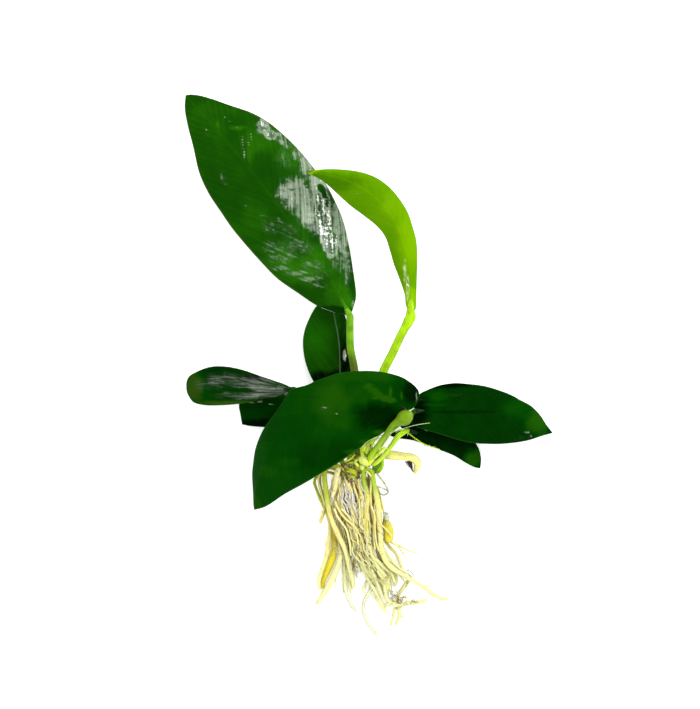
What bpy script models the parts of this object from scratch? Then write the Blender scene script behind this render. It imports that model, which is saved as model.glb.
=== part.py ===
"""A bare-rooted anubias, lying on a flat surface.

Eight leaves on their stalks rise from one short rhizome, and the roots trail
from it. Z is up and the surface is z = 0. The plan is drawn on a sheet with
three units to the millimetre, x to the right and y down the sheet, and every
point adds its height above the surface in millimetres.
"""

import math

import bmesh
import bpy
import numpy as np
from mathutils import Vector

# ------------------------------------------------------------------ dimensions
SHEET_UNITS_PER_MM = 3.0
SHEET_CENTRE = (368.5, 365.5)     # the sheet point over the model's origin
MM = 0.001
BLADE_THICKNESS = 0.6             # mm, of every leaf blade
SHEATH_THICKNESS = 0.5            # mm, of the torn skin beside the hooked root
ROOT_STEP = 3.2                   # mm between the points of a root
ROOT_GAP = 0.36                   # mm kept between neighbouring roots
STALK_STEP = 5.0                  # mm between the points of a plain stalk
SHAPED_STALKS = {                 # mm between the points of a stalk that swells
    "stalk_front": 1.7, "stalk_young": 2.2, "crown_stub": 1.4}

# Each blade is three lines from its base to its tip: the margin on one side,
# the midrib, and the margin on the other side. (sheet x, sheet y, height)
# The numbers after them are the divisions along and across, and how far the
# blade swells between midrib and margin, in mm.
BLADES = {
    "leaf_tall": (
        [(350, 316, 12), (333, 312, 10.5), (316, 305, 8), (298, 293, 5.6),
         (278, 279, 3.8), (263, 264, 2.6), (246, 245, 1.7), (232, 228, 1.1),
         (221, 212, 0.7), (209, 193, 0.5), (200, 172, 0.4), (194.5, 147, 0.35),
         (189, 126, 0.35), (185.5, 109, 0.35), (185.5, 95, 0.4)],
        [(350, 316, 12), (344, 304, 13), (333, 284, 13.6), (314, 257, 13),
         (294, 229, 11.8), (274.5, 201, 10), (253, 173, 8), (232, 147.5, 5.6),
         (209, 121, 2.8), (185.5, 95, 0.4)],
        [(350, 316, 12), (354, 306, 11.6), (356, 294, 10.6), (353, 270, 8.6),
         (348, 241, 7.2), (341, 215, 6.2), (327, 186, 5.2), (316, 171, 4.8),
         (296, 147, 4), (272, 125, 3.2), (252, 113, 2.5), (232, 107, 1.8),
         (211, 100, 1), (185.5, 95, 0.4)],
        14, 8, 0.9),
    "leaf_young": (
        [(410.5, 313, 17.4), (407, 306, 17.2), (406, 295, 17.4),
         (401, 279, 17.6), (395, 264, 17.8), (391, 250, 18.2),
         (386, 236, 19), (377, 225, 20.2), (364, 215, 21), (350, 205, 21.4),
         (336, 193, 21.6), (322, 181, 21.8), (305, 172.6, 21.6)],
        [(410.5, 313, 17.4), (411, 297, 19.2), (409, 270, 21.4),
         (403, 243, 23.6), (392, 218, 25.6), (375, 198, 26.6),
         (353, 184, 26.4), (330, 176.5, 24.8), (305, 172.6, 21.6)],
        [(410.5, 313, 17.4), (415.5, 309, 17.2), (416, 297, 17.4),
         (416.5, 279, 18.2), (417, 258, 19.6), (416, 241, 21), (412, 226, 22.4),
         (407, 212, 23.6), (398, 198, 24.4), (387, 186, 24.8),
         (373, 177, 24.6), (356, 172, 24), (335, 170, 23), (317, 170.6, 22.2),
         (305, 172.6, 21.6)],
        12, 6, 0.5),
    "leaf_rear": (
        [(338, 404, 6), (327, 397, 5.2), (318, 388, 4), (311, 377, 2.8),
         (306, 364, 1.8), (303.5, 352, 1.1), (303, 340, 0.7), (305, 329, 0.5),
         (309, 319, 0.5), (315, 308, 0.6), (323, 300, 0.9), (333, 294, 1.5)],
        [(338, 404, 6), (340, 385, 6.4), (340, 368, 6.2), (339.5, 350, 5.6),
         (338, 335, 4.8), (335, 320, 3.6), (333, 307, 2.4), (333, 294, 1.5)],
        [(338, 404, 6), (346, 391, 5.4), (350, 375, 4.6), (350.5, 360, 3.8),
         (350, 345, 3.2), (348, 330, 2.6), (345, 315, 2.2), (341, 303, 1.8),
         (333, 294, 1.5)],
        10, 6, 0.4),
    "leaf_left": (
        [(294, 389, 13), (285, 385, 12.4), (276, 382, 11.8), (261, 377, 10.8),
         (247, 372, 9.6), (234, 368.5, 8), (220, 367, 6.2), (209, 368, 4.6),
         (198, 372, 3), (190, 376.5, 1.8), (186.3, 382, 0.9), (188, 388, 0.35)],
        [(294, 389, 13), (275, 389.5, 13.6), (252, 388.5, 13),
         (230, 386.5, 11), (212, 385, 8), (198, 385.5, 4.4), (188, 388, 0.35)],
        [(294, 389, 13), (286, 392.5, 12), (276, 395.5, 11), (266, 398.5, 10),
         (252, 401.5, 8.6), (237, 404, 7), (218, 405.3, 5), (204, 405, 3.4),
         (194, 402.5, 2), (190, 397, 1.1), (187.6, 392, 0.5), (188, 388, 0.35)],
        10, 6, 0.5),
    "leaf_left_low": (
        [(306, 418, 8), (294, 401, 4.6), (276, 391, 3), (258, 389, 2),
         (244, 395, 1), (239, 404, 0.5), (240.5, 415, 0.35), (242, 424.5, 0.35)],
        [(306, 418, 8), (296, 414, 7.4), (280, 409, 6), (263, 408, 4),
         (250, 413, 1.8), (242, 424.5, 0.35)],
        [(306, 418, 8), (293, 425, 6), (276, 427.5, 4), (262, 427, 2.2),
         (250, 426, 0.9), (242, 424.5, 0.35)],
        8, 6, 0.3),
    "leaf_front": (
        [(404, 411, 25), (412, 408.5, 24.6), (417, 402, 24.6),
         (419, 395, 25.2), (416.5, 388, 26), (409, 381.5, 27),
         (400, 376.5, 28), (387.5, 373, 28.8), (375, 371.2, 29.4),
         (358, 371, 29.8), (339, 373, 29.8), (327, 377, 29.4),
         (315, 381.5, 28.6), (307, 385, 28), (298, 390.5, 27),
         (291, 397, 25.8), (282, 406, 24), (275, 414, 22.2), (265, 427, 19),
         (259, 439, 16), (255.4, 450, 13.2), (253.4, 463, 10.2),
         (252.3, 475, 7.4), (253.2, 493, 3.2), (254, 510, 0.35)],
        [(404, 411, 25), (398, 401, 28), (388, 392.5, 31), (375, 387.5, 33),
         (350, 386, 34.6), (325, 394, 34.2), (304, 411, 31.8),
         (285, 435, 27), (270, 458, 20.4), (261, 481, 12.6), (256, 498, 5.4),
         (254, 510, 0.35)],
        [(404, 411, 25), (396, 417.5, 25.2), (387.5, 425, 25.6),
         (375, 434, 25.8), (357, 447, 25), (339, 461, 22.8), (321, 473, 19.2),
         (303, 482.5, 14.6), (284.5, 492.5, 9.4), (272, 501, 5),
         (264, 505.5, 2.4), (254, 510, 0.35)],
        18, 8, 0.8),
    "leaf_right": (
        [(414, 411, 19), (414, 401, 18), (420, 393.5, 17.2),
         (428, 389.5, 16.6), (437, 386, 16), (445.5, 384, 15.4),
         (456, 383, 14.6), (469, 384, 13.4), (484, 386, 11.8), (498, 390, 10),
         (511, 395, 8), (521, 400.5, 6.2), (531, 406, 4.4), (540, 415, 2.6),
         (546.5, 425, 1.2), (553, 433, 0.35)],
        [(414, 411, 19), (432, 410, 19.8), (455, 410.5, 19), (485, 414, 16),
         (512, 419.5, 11.2), (535, 426.5, 5.4), (553, 433, 0.35)],
        [(414, 411, 19), (419, 423, 17.6), (428, 430, 16.4), (437, 433, 15.2),
         (448, 436.5, 13.8), (463, 441, 12), (475, 443, 10.4),
         (484, 443.6, 9), (500, 443.8, 7), (516, 442.4, 4.8), (529, 440, 3),
         (542, 435.8, 1.4), (553, 433, 0.35)],
        12, 6, 0.6),
    "leaf_right_low": (
        [(408, 431, 10), (422, 421, 8), (438, 422, 6.4), (455, 428, 4.6),
         (470, 437, 2.8), (478, 447, 1.6), (481, 458, 0.8), (480.5, 468.5, 0.35)],
        [(408, 431, 10), (425, 434, 9), (443, 441, 7), (460, 451, 4.4),
         (472, 461, 2), (480.5, 468.5, 0.35)],
        [(408, 431, 10), (402, 437.5, 8.6), (412, 440, 7.8), (427, 445, 6.2),
         (439, 449.5, 5), (454, 455.5, 3.4), (464.5, 462, 2), (474, 467, 0.9),
         (480.5, 468.5, 0.35)],
        8, 6, 0.3),
}

# Stalks and the other round pieces: (sheet x, sheet y, height, radius in mm)
STALKS = {
    "stalk_tall": [
        (350, 318.2, 12, 1.25), (350, 335, 12, 1.25), (350.2, 346, 12, 1.25),
        (352.5, 360, 12, 1.3), (355, 372, 12, 1.35), (356, 390, 12, 1.35),
        (357, 412, 12.2, 1.35), (358, 443, 12.4, 1.45)],
    "stalk_young": [
        (410.3, 315.4, 17.3, 1.3), (409.4, 320, 17.1, 1.7), (406.6, 325.5, 17, 1.4),
        (403.5, 331, 16.8, 1.3), (398.5, 341, 16.5, 1.3), (392.5, 354, 16, 1.3),
        (387, 364.5, 15.6, 1.3), (383.5, 372, 15.2, 1.3), (378.5, 388, 15, 1.3),
        (374, 408, 14.6, 1.3), (370, 430, 14, 1.3), (368.3, 443, 13.8, 1.3)],
    "stalk_rear": [
        (338.6, 407, 6, 0.9), (342, 420, 6.6, 0.95), (347, 437, 7.6, 1.0),
        (351.5, 449, 8.4, 1.0)],
    "stalk_left": [
        (297.5, 392, 13, 0.9), (306, 400, 13, 0.95), (320, 416, 12.8, 1.0),
        (334, 435, 12.2, 1.0), (347, 452.3, 11.4, 1.0)],
    "stalk_left_low": [
        (308.5, 420.5, 8.1, 0.85), (318, 430, 8.6, 0.9), (329, 444, 9.2, 0.9),
        (341, 460, 9.6, 0.9)],
    "stalk_front": [
        (411.5, 410.5, 28.9, 0.6), (410.4, 411.6, 28.9, 1.9),
        (408, 413.5, 28.9, 2.6), (404.5, 416, 28.9, 2.85),
        (400, 418.6, 28.8, 2.5), (395.5, 421, 28.6, 1.8),
        (391.5, 424, 28.3, 1.15), (386.5, 431, 27.2, 0.95),
        (380.6, 442.4, 23.8, 0.95), (376, 452, 19.4, 1.1),
        (372.6, 458.6, 16.2, 1.6), (371.4, 460.6, 15.4, 1.7)],
    "stalk_right": [
        (411.5, 414, 18.6, 0.9), (403, 420.5, 18, 0.9), (392, 429, 16.8, 0.9),
        (383, 440.5, 15.2, 0.9), (377, 450, 13.7, 0.9), (375, 452.5, 13.3, 0.9)],
    "stalk_right_low": [
        (406.5, 430.8, 10.9, 0.9), (402, 432.4, 11.8, 1.05),
        (397.5, 436.6, 12.8, 1.05), (393, 443, 13.9, 0.95),
        (388, 449.8, 14.8, 0.9), (382.5, 456.5, 15, 0.9),
        (378, 461, 14.4, 0.9)],
    "crown_stub": [
        (361.3, 444.5, 15.6, 0.55), (361.6, 449, 15.8, 0.65),
        (362.6, 455.5, 15.4, 0.75)],
}
RHIZOME = [
    (340, 476.5, 9, 1.0), (343, 473.8, 9.4, 1.9), (347, 470.3, 9.9, 2.6),
    (352, 466.4, 10.3, 2.6), (357, 462.6, 10.7, 3.2), (362, 459, 11, 2.9),
    (366, 455.8, 11, 3.1), (370, 452.6, 11, 2.5), (372.6, 450.6, 11, 1.4)]
RHIZOME_BUD = [
    (377.5, 461, 10.8, 0.6), (380.6, 462.6, 11.1, 1.0),
    (381.6, 465.6, 11, 1.15), (380.4, 468.8, 10.6, 0.95),
    (377.6, 472.4, 9.8, 0.4)]
HOOKED_ROOT = [
    (385.5, 456, 10.8, 1.1), (388, 455.5, 11.2, 1.45), (392, 455, 11.4, 1.6),
    (398, 455.6, 11.4, 1.42), (405, 456.4, 11.2, 1.32),
    (411, 457.2, 10.8, 1.35), (415.4, 459.8, 10.2, 1.42),
    (417.4, 464, 9.4, 1.3), (416.4, 468.8, 8.6, 1.0), (413.9, 473.6, 7.8, 0.4)]
SHEATH = [(404.6, 462), (411.6, 462.4), (412.2, 466.2), (412.6, 471.4),
          (408.6, 468.4)]
SHEATH_HEIGHT = 9.6               # mm

# The roots, as they were laid. Where two cross, spread_roots parts them.
ROOTS = {
    "root_01": [
        (340, 467, 10.5, 0.7), (334, 464, 11, 0.8), (328, 466, 11.5, 0.8),
        (325, 472, 11.6, 0.8), (325, 484, 11.5, 0.85), (326.5, 494, 11.3, 0.85),
        (328.7, 508, 10.8, 0.85), (331, 517, 10.4, 0.85), (336, 530, 9.2, 0.85),
        (342, 542, 7.6, 0.85), (346.5, 554, 5.8, 0.85), (349.5, 567, 3.9, 0.9),
        (352, 579, 2, 0.85), (353.5, 588.5, 0.9, 0.5)],
    "root_02": [
        (337, 470, 8, 0.5), (329, 467.5, 8.4, 0.5), (322.5, 470.5, 9, 0.55),
        (319.5, 478, 9.2, 0.55), (321, 490, 9, 0.55), (324, 500, 8.6, 0.55),
        (325, 508, 8.1, 0.5), (322.5, 516, 7.3, 0.5), (319.8, 523.5, 6.4, 0.35)],
    "root_03": [
        (337, 474, 6.3, 0.45), (328, 472, 6.4, 0.45), (319, 474, 7.2, 0.45),
        (314.5, 480, 7.8, 0.45), (316, 487, 8, 0.45), (319, 496, 7.9, 0.45),
        (323.5, 506, 7.3, 0.5), (328, 517, 6.3, 0.5), (330, 530, 5.2, 0.6),
        (328.5, 542, 4.4, 0.65), (327, 553, 3.6, 0.7), (324, 564, 2.8, 0.7),
        (320.5, 574, 1.8, 0.7), (318.8, 583, 1.1, 0.6), (319.8, 590.5, 0.7, 0.35)],
    "root_04": [
        (345, 475, 5.6, 0.45), (341, 486, 5.4, 0.5), (337.5, 497, 5.2, 0.5), (334.5, 508, 4.8, 0.6),
        (334, 520, 4.6, 0.9), (335, 532, 4.4, 1.15), (334.5, 544, 4, 1.25),
        (333.5, 554, 3.4, 1.3), (330.5, 563, 2.7, 1.3), (326.5, 572, 1.9, 1.15),
        (323, 581, 1.2, 0.85), (321.8, 589, 0.8, 0.45)],
    "root_05": [
        (348.5, 478.5, 6.9, 0.5), (344.5, 489, 7.8, 0.55), (340.5, 505, 8, 0.6),
        (340, 520, 7.4, 0.65), (341, 535, 5.9, 0.7), (341.5, 548, 4.6, 0.8),
        (340, 559, 3.6, 0.9), (337, 568, 2.8, 1.0), (333, 577, 2, 1.1),
        (328, 587, 1.4, 1.05), (321.5, 597, 1, 0.8), (316.5, 605, 0.6, 0.5)],
    "root_06": [
        (350, 476, 5.4, 0.45), (347.5, 486, 5.8, 0.5), (345, 496, 6, 0.5), (343, 507, 6.2, 0.5),
        (343, 520, 5.6, 0.5), (343.5, 535, 4.4, 0.55), (344, 549, 3.2, 0.6),
        (344.5, 562, 2.2, 0.65), (344.5, 574, 1.4, 0.65), (345, 585, 0.9, 0.6),
        (347, 595, 0.7, 0.5), (350.5, 604, 0.6, 0.45), (356.7, 612, 0.45, 0.35)],
    "root_07": [
        (343, 465, 12.8, 0.6), (339, 468, 12.6, 0.85), (336.7, 474, 12.4, 0.95),
        (336.3, 481, 12.1, 0.95), (335.5, 487, 11.6, 0.85), (334, 492, 11, 0.6),
        (331.8, 497.5, 10.3, 0.3)],
    "root_08": [
        (344.4, 480.6, 9.6, 0.45), (340, 490, 9.9, 0.45), (338.5, 501, 9.4, 0.5),
        (342, 509.5, 9, 0.5), (347, 518, 8.4, 0.5), (351.5, 530, 7.4, 0.55),
        (354.5, 545, 6, 0.55), (358, 556, 5, 0.55), (362, 566, 4, 0.5),
        (367, 577, 2.9, 0.5), (372.5, 586.5, 1.9, 0.5), (377.5, 595, 1.2, 0.5),
        (382, 604, 0.8, 0.5), (386, 611, 0.6, 0.4)],
    "root_09": [
        (351.5, 480.5, 7.6, 0.4), (348.5, 490, 8.2, 0.4), (346, 502, 8, 0.45),
        (348, 511, 7.6, 0.45), (351, 521, 6.9, 0.45), (353.5, 534, 5.9, 0.5),
        (355, 547, 4.7, 0.5), (355, 558, 3.4, 0.45), (354, 568, 2.2, 0.4),
        (356, 575, 1.2, 0.35)],
    "root_10": [
        (345.5, 478.6, 12.4, 0.4), (349.2, 488, 11.7, 0.45), (352, 497, 10.9, 0.45),
        (352.3, 506, 10.2, 0.45), (356, 514, 9.4, 0.5), (359.5, 524, 8.4, 0.5),
        (362, 536, 7.2, 0.5), (364.5, 548, 6, 0.5), (367.5, 559, 4.8, 0.5),
        (371, 569, 3.7, 0.5), (375.5, 579, 2.6, 0.5), (379.5, 588.5, 1.6, 0.5),
        (382.5, 597.5, 0.9, 0.45)],
    "root_11": [
        (356, 472, 5.8, 0.4), (355.8, 487, 6.2, 0.45), (355, 501, 6, 0.45),
        (356.5, 513, 5.2, 0.45), (358, 527, 4.2, 0.45), (360, 541, 3.2, 0.45),
        (363, 553, 2.3, 0.45), (367.5, 565, 1.4, 0.4)],
    "root_12": [
        (363.5, 470, 13.4, 0.7), (363, 477, 13.5, 0.8), (364.5, 485, 13.2, 0.9),
        (367, 493, 12.6, 1.0), (367.2, 504, 11.8, 0.95), (366.3, 515, 10.9, 0.9),
        (366.5, 527, 9.7, 0.9), (368, 539, 8.3, 0.85), (370.5, 550, 6.9, 0.85),
        (374, 560, 5.5, 0.85), (379, 569, 4.2, 0.85), (385, 576.5, 3.1, 0.8),
        (388.5, 584, 2.2, 0.75), (386.5, 591.5, 1.5, 0.6), (387, 598, 0.9, 0.45)],
    "root_13": [
        (371, 471, 13.8, 0.75), (373.3, 480, 13.4, 0.8), (375, 489, 12.8, 0.85),
        (377, 499, 12, 1.0), (378.5, 510, 11, 1.1), (379, 522, 9.8, 1.0),
        (380, 535, 8.4, 0.95), (381.5, 548, 6.8, 0.95), (385, 559, 5.3, 0.95),
        (391, 567, 4.1, 0.95), (399, 572.5, 3.2, 0.9), (408, 578, 2.5, 0.9),
        (417, 583, 1.9, 0.85), (425, 588, 1.4, 0.9), (433, 594, 1.1, 0.9),
        (441, 598.5, 0.9, 0.7), (449.3, 598.8, 0.6, 0.4)],
    "root_14": [
        (377, 486, 9.5, 0.5), (380, 496, 9.4, 0.8), (382.5, 507, 9, 1.15),
        (385, 517, 8.4, 1.3), (387.2, 527, 7.6, 1.35), (389, 536, 6.7, 1.35),
        (388, 543, 6, 0.6)],
    "root_15": [
        (384.5, 533, 4.6, 0.35), (390, 541, 4.8, 0.4), (397.5, 544.8, 4.3, 0.4),
        (404, 548.3, 3.6, 0.35), (411, 551.3, 2.8, 0.3), (418.5, 553.7, 2, 0.2)],
    "root_16": [
        (384, 539, 3, 0.35), (389, 546, 3.4, 0.45), (395, 552, 3, 0.45),
        (398.7, 559, 2.5, 0.5), (401.2, 566, 1.7, 0.5), (402.5, 571, 0.9, 0.4)],
    "root_17": [
        (409, 580.5, 0.8, 0.55), (403.5, 587.5, 0.8, 0.65),
        (399.5, 594, 0.8, 0.65), (396.8, 600, 1, 0.6), (399, 606, 1.1, 0.55),
        (400.5, 612.5, 0.9, 0.55), (398, 619.5, 0.7, 0.5), (394.8, 626.5, 0.5, 0.35)],
    "root_18": [
        (389, 603.8, 1.4, 0.5), (393, 605.3, 1.9, 0.6), (398, 605.5, 2.3, 0.6),
        (405, 603.5, 2, 0.65), (413, 603, 1.6, 0.7), (420.5, 601.7, 1.1, 0.65),
        (428, 599.8, 0.7, 0.4)],
    "root_19": [
        (394.6, 609, 0.5, 0.4), (393.4, 617, 0.5, 0.4), (390.4, 626.5, 0.5, 0.3)],
    "root_20": [
        (367.5, 470.5, 9.6, 0.5), (369.8, 480, 9.5, 0.5), (370.8, 490, 9, 0.55), (371.8, 505, 8.4, 0.6),
        (372.5, 520, 7.5, 0.6), (373.5, 534, 6.4, 0.65), (376.5, 547, 5, 0.7),
        (381, 558, 3.8, 0.7), (387.5, 567, 2.6, 0.7), (393.5, 573.5, 1.8, 0.75),
        (396.2, 579.5, 1.2, 0.7), (395, 586.5, 0.7, 0.4)],
    "root_21": [
        (369, 566, 1.6, 0.4), (372.5, 575, 1.3, 0.45), (373, 584, 1.1, 0.5),
        (370, 591.5, 1, 0.5), (365.8, 598, 0.8, 0.5), (363.3, 606, 0.6, 0.48),
        (364.3, 615, 0.5, 0.45), (368.5, 624.5, 0.5, 0.45),
        (374, 631.5, 0.5, 0.45), (378.5, 637, 0.45, 0.3)],
    "root_22": [
        (358.5, 473.5, 7.4, 0.45), (360, 490, 7.8, 0.5), (360.8, 505, 7.2, 0.5),
        (362, 520, 6.4, 0.5), (364, 535, 5.2, 0.55), (367, 549, 4, 0.55),
        (371.5, 561, 3, 0.5), (376.5, 572, 2.1, 0.5), (381.5, 582, 1.4, 0.5),
        (383.4, 590, 0.9, 0.45), (383.6, 595, 0.6, 0.3)],
    "root_23": [
        (353, 474, 4.2, 0.4), (351, 486, 3.8, 0.4), (350, 497, 3.6, 0.45), (349.5, 510, 3.4, 0.5),
        (349.5, 524, 3, 0.5), (350.5, 538, 2.6, 0.5), (352.5, 550, 2.2, 0.5),
        (357, 561, 1.7, 0.5), (363.5, 571, 1.2, 0.5), (370, 579.5, 0.9, 0.45),
        (376, 587, 0.7, 0.4)],
    "root_24": [
        (363, 468, 5.8, 0.45), (365.2, 480, 5.6, 0.45), (366.8, 492, 5.4, 0.5), (369, 507, 4.9, 0.55),
        (371.5, 522, 4.2, 0.55), (375, 536, 3.4, 0.6), (380, 549, 2.6, 0.6),
        (387, 559, 1.9, 0.6), (393.5, 566, 1.3, 0.6), (398.5, 570, 0.9, 0.4)],
}
OCHRE_ROOTS = ("root_04", "root_14")
GREEN_ROOTS = ("root_02", "root_12", "root_13")

# ------------------------------------------------------------------- the scene
for old in list(bpy.data.objects):
    bpy.data.objects.remove(old, do_unlink=True)

plant_collection = bpy.data.collections.new("bare_rooted_anubias")
bpy.context.scene.collection.children.link(plant_collection)

plant = bpy.data.objects.new("plant", None)
plant.empty_display_size = 0.02
plant_collection.objects.link(plant)


def make_material(name, colour, roughness):
    """A Principled material with one colour (linear RGB)."""
    material = bpy.data.materials.new(name)
    material.use_nodes = True
    shader = material.node_tree.nodes["Principled BSDF"]
    shader.inputs["Base Color"].default_value = (*colour, 1.0)
    shader.inputs["Roughness"].default_value = roughness
    shader.inputs["Metallic"].default_value = 0.0
    material.diffuse_color = (*colour, 1.0)
    return material


LEAF_DARK = make_material("leaf_dark_green", (0.004, 0.075, 0.003), 0.3)
LEAF_TALL = make_material("leaf_mid_green", (0.012, 0.12, 0.006), 0.3)
LEAF_YOUNG = make_material("leaf_young_green", (0.25, 0.52, 0.0), 0.35)
STALK = make_material("stalk_light_green", (0.35, 0.66, 0.01), 0.4)
RHIZOME_SKIN = make_material("rhizome_yellow_green", (0.42, 0.45, 0.06), 0.6)
ROOT_CREAM = make_material("root_cream", (0.85, 0.8, 0.3), 0.5)
ROOT_GREEN = make_material("root_green_yellow", (0.55, 0.66, 0.05), 0.5)
ROOT_OCHRE = make_material("root_ochre", (0.7, 0.48, 0.03), 0.55)
SHEATH_SKIN = make_material("sheath_dark_brown", (0.02, 0.015, 0.008), 0.7)


# -------------------------------------------------------------------- geometry
def on_plan(point):
    """A drawn point (sheet x, sheet y, height[, radius]) in millimetres."""
    x = (point[0] - SHEET_CENTRE[0]) / SHEET_UNITS_PER_MM
    y = (SHEET_CENTRE[1] - point[1]) / SHEET_UNITS_PER_MM
    return np.array([x, y, *point[2:]], dtype=float)


def smooth_line(drawn, pieces):
    """A Catmull-Rom curve through the drawn points, cut into equal lengths."""
    knots = np.array([on_plan(point) for point in drawn])
    knots = np.vstack([2 * knots[0] - knots[1], knots, 2 * knots[-1] - knots[-2]])
    dense = []
    for a, b, c, d in zip(knots, knots[1:], knots[2:], knots[3:]):
        for t in np.arange(0, 1, 0.1):
            dense.append(0.5 * (2 * b + (c - a) * t
                                + (2 * a - 5 * b + 4 * c - d) * t * t
                                + (3 * b - a - 3 * c + d) * t ** 3))
    dense.append(knots[-2])
    dense = np.array(dense)
    steps = np.linalg.norm(np.diff(dense[:, :3], axis=0), axis=1)
    along = np.concatenate([[0.0], np.cumsum(steps)])
    wanted = np.linspace(0, along[-1], pieces + 1)
    return np.column_stack([np.interp(wanted, along, dense[:, k])
                            for k in range(dense.shape[1])])


def line_length(drawn):
    """The length of a drawn line in millimetres."""
    points = np.array([on_plan(point)[:3] for point in drawn])
    return float(np.linalg.norm(np.diff(points, axis=0), axis=1).sum())


def strand_points(drawn, step):
    """The points of a tube along a drawn line, about one step apart."""
    pieces = max(4, round(line_length(drawn) / step))
    return smooth_line(drawn, pieces)


def place(obj, origin, material):
    """Put an object at its point of attachment, on the plant."""
    obj.location = Vector(origin) * MM
    obj.parent = plant
    obj.data.materials.append(material)
    plant_collection.objects.link(obj)
    return obj


def make_tube(name, points, bevel_resolution, material):
    """A tapering tube with closed ends; points are (x, y, z, radius) in mm."""
    curve = bpy.data.curves.new(name, "CURVE")
    curve.dimensions = "3D"
    curve.resolution_u = 1
    curve.render_resolution_u = 0
    curve.bevel_depth = MM
    curve.bevel_resolution = bevel_resolution
    curve.use_fill_caps = True
    spline = curve.splines.new("POLY")
    spline.points.add(len(points) - 1)
    origin = points[0][:3]
    for slot, point in zip(spline.points, points):
        slot.co = (*((point[:3] - origin) * MM), 1.0)
        slot.radius = point[3]
    return place(bpy.data.objects.new(name, curve), origin, material)


def make_blade(name, margin_a, midrib, margin_b, along, across, swell, material):
    """A leaf blade: a grid laid between its margins and midrib, made solid."""
    left = smooth_line(margin_a, along)
    middle = smooth_line(midrib, along)
    right = smooth_line(margin_b, along)
    origin = middle[0].copy()
    sheet = bmesh.new()
    bmesh.ops.create_grid(sheet, x_segments=along, y_segments=across, size=0.5)
    for vertex in sheet.verts:
        row = round((vertex.co.x + 0.5) * along)
        side = vertex.co.y * 2
        edge = right[row] if side > 0 else left[row]
        reach = abs(side)
        place_mm = middle[row] + (edge - middle[row]) * reach
        place_mm[2] += swell * math.sin(math.pi * reach) * math.sin(math.pi * row / along)
        vertex.co = Vector(place_mm - origin) * MM
    bmesh.ops.remove_doubles(sheet, verts=sheet.verts, dist=0.01 * MM)
    bmesh.ops.recalc_face_normals(sheet, faces=sheet.faces)
    mesh = bpy.data.meshes.new(name)
    sheet.to_mesh(mesh)
    sheet.free()
    mesh.shade_smooth()
    blade = place(bpy.data.objects.new(name, mesh), origin, material)
    solid = blade.modifiers.new("thickness", "SOLIDIFY")
    solid.thickness = BLADE_THICKNESS * MM
    solid.offset = 0.0
    return blade


def samples_of(points, owner):
    """Points every 0.5 mm along a strand: which two ends, how far, whose."""
    rows = []
    for index in range(len(points) - 1):
        length = np.linalg.norm(points[index + 1][:3] - points[index][:3])
        count = max(1, math.ceil(length / 0.5))
        rows += [(index, step / count, owner) for step in range(count)]
    rows.append((len(points) - 2, 1.0, owner))
    return rows


def spread_roots(roots, still):
    """Raise and lower the roots where they'd run through one another.

    The plan of every root stays as drawn; only heights change. The lower of
    two crossing roots goes down and the upper one up, and neither goes
    through the surface. The pieces in still don't move.
    """
    strands = list(roots) + list(still)
    starts = np.cumsum([0] + [len(strand) for strand in strands])
    rows = [(starts[owner] + index, part, owner)
            for owner, strand in enumerate(strands)
            for index, part, _ in samples_of(strand, owner)]
    first = np.array([row[0] for row in rows])
    part = np.array([row[1] for row in rows])
    owner = np.array([row[2] for row in rows])
    points = np.vstack(strands)
    free = (owner < len(roots)).astype(float)

    def sampled(column):
        return column[first] * (1 - part) + column[first + 1] * part

    x, y, z, r = (sampled(points[:, k]) for k in range(4))
    apart = r[:, None] + r[None, :] + ROOT_GAP
    flat = np.hypot(x[:, None] - x[None, :], y[:, None] - y[None, :])
    near = (flat < apart) & (owner[:, None] < owner[None, :])
    near &= (free[:, None] + free[None, :]) > 0
    a, b = np.nonzero(near)
    need = np.sqrt(apart[a, b] ** 2 - flat[a, b] ** 2)
    # The order of two roots is settled once, over the whole of their crossing.
    lift = np.zeros((len(strands), len(strands)))
    np.add.at(lift, (owner[a], owner[b]), z[a] - z[b])
    above = np.where(lift[owner[a], owner[b]] >= 0, 1.0, -1.0)
    share = free[a] + free[b]
    height = points[:, 2].copy()
    interior = np.ones(len(points), bool)
    interior[starts[:-1]] = False
    interior[starts[1:] - 1] = False
    movable = np.arange(len(points)) < starts[len(roots)]
    for turn in range(600):
        z = sampled(height)
        short = np.maximum(0.0, need - above * (z[a] - z[b]))
        push = np.zeros(len(height))
        count = np.zeros(len(height))
        for which, sign in ((a, 1.0), (b, -1.0)):
            move = sign * above * short * free[which] / share
            for end, weight in ((first[which], 1 - part[which]),
                                (first[which] + 1, part[which])):
                np.add.at(push, end, move * weight)
                np.add.at(count, end, weight * (short > 0))
        height += np.where(movable, 0.6 * push / np.maximum(count, 1.0), 0.0)
        if turn < 450:
            calm = np.zeros(len(height))
            calm[1:-1] = 0.5 * (height[:-2] + height[2:]) - height[1:-1]
            height += np.where(movable & interior, 0.12 * calm, 0.0)
        floor = points[:, 3] * 1.02
        height = np.where(movable, np.maximum(height, floor), height)
    for index, strand in enumerate(roots):
        strand[:, 2] = height[starts[index]:starts[index + 1]]
    return roots


# ---------------------------------------------------------------------- leaves
BLADE_MATERIALS = {"leaf_tall": LEAF_TALL, "leaf_young": LEAF_YOUNG}
for blade_name, (margin_a, midrib, margin_b, along, across, swell) in BLADES.items():
    make_blade(blade_name, margin_a, midrib, margin_b, along, across, swell,
               BLADE_MATERIALS.get(blade_name, LEAF_DARK))

stalk_strands = {stalk: strand_points(drawn, SHAPED_STALKS.get(stalk, STALK_STEP))
                 for stalk, drawn in STALKS.items()}
for stalk, strand in stalk_strands.items():
    make_tube(stalk, strand, 3 if stalk == "stalk_front" else 2, STALK)

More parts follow.
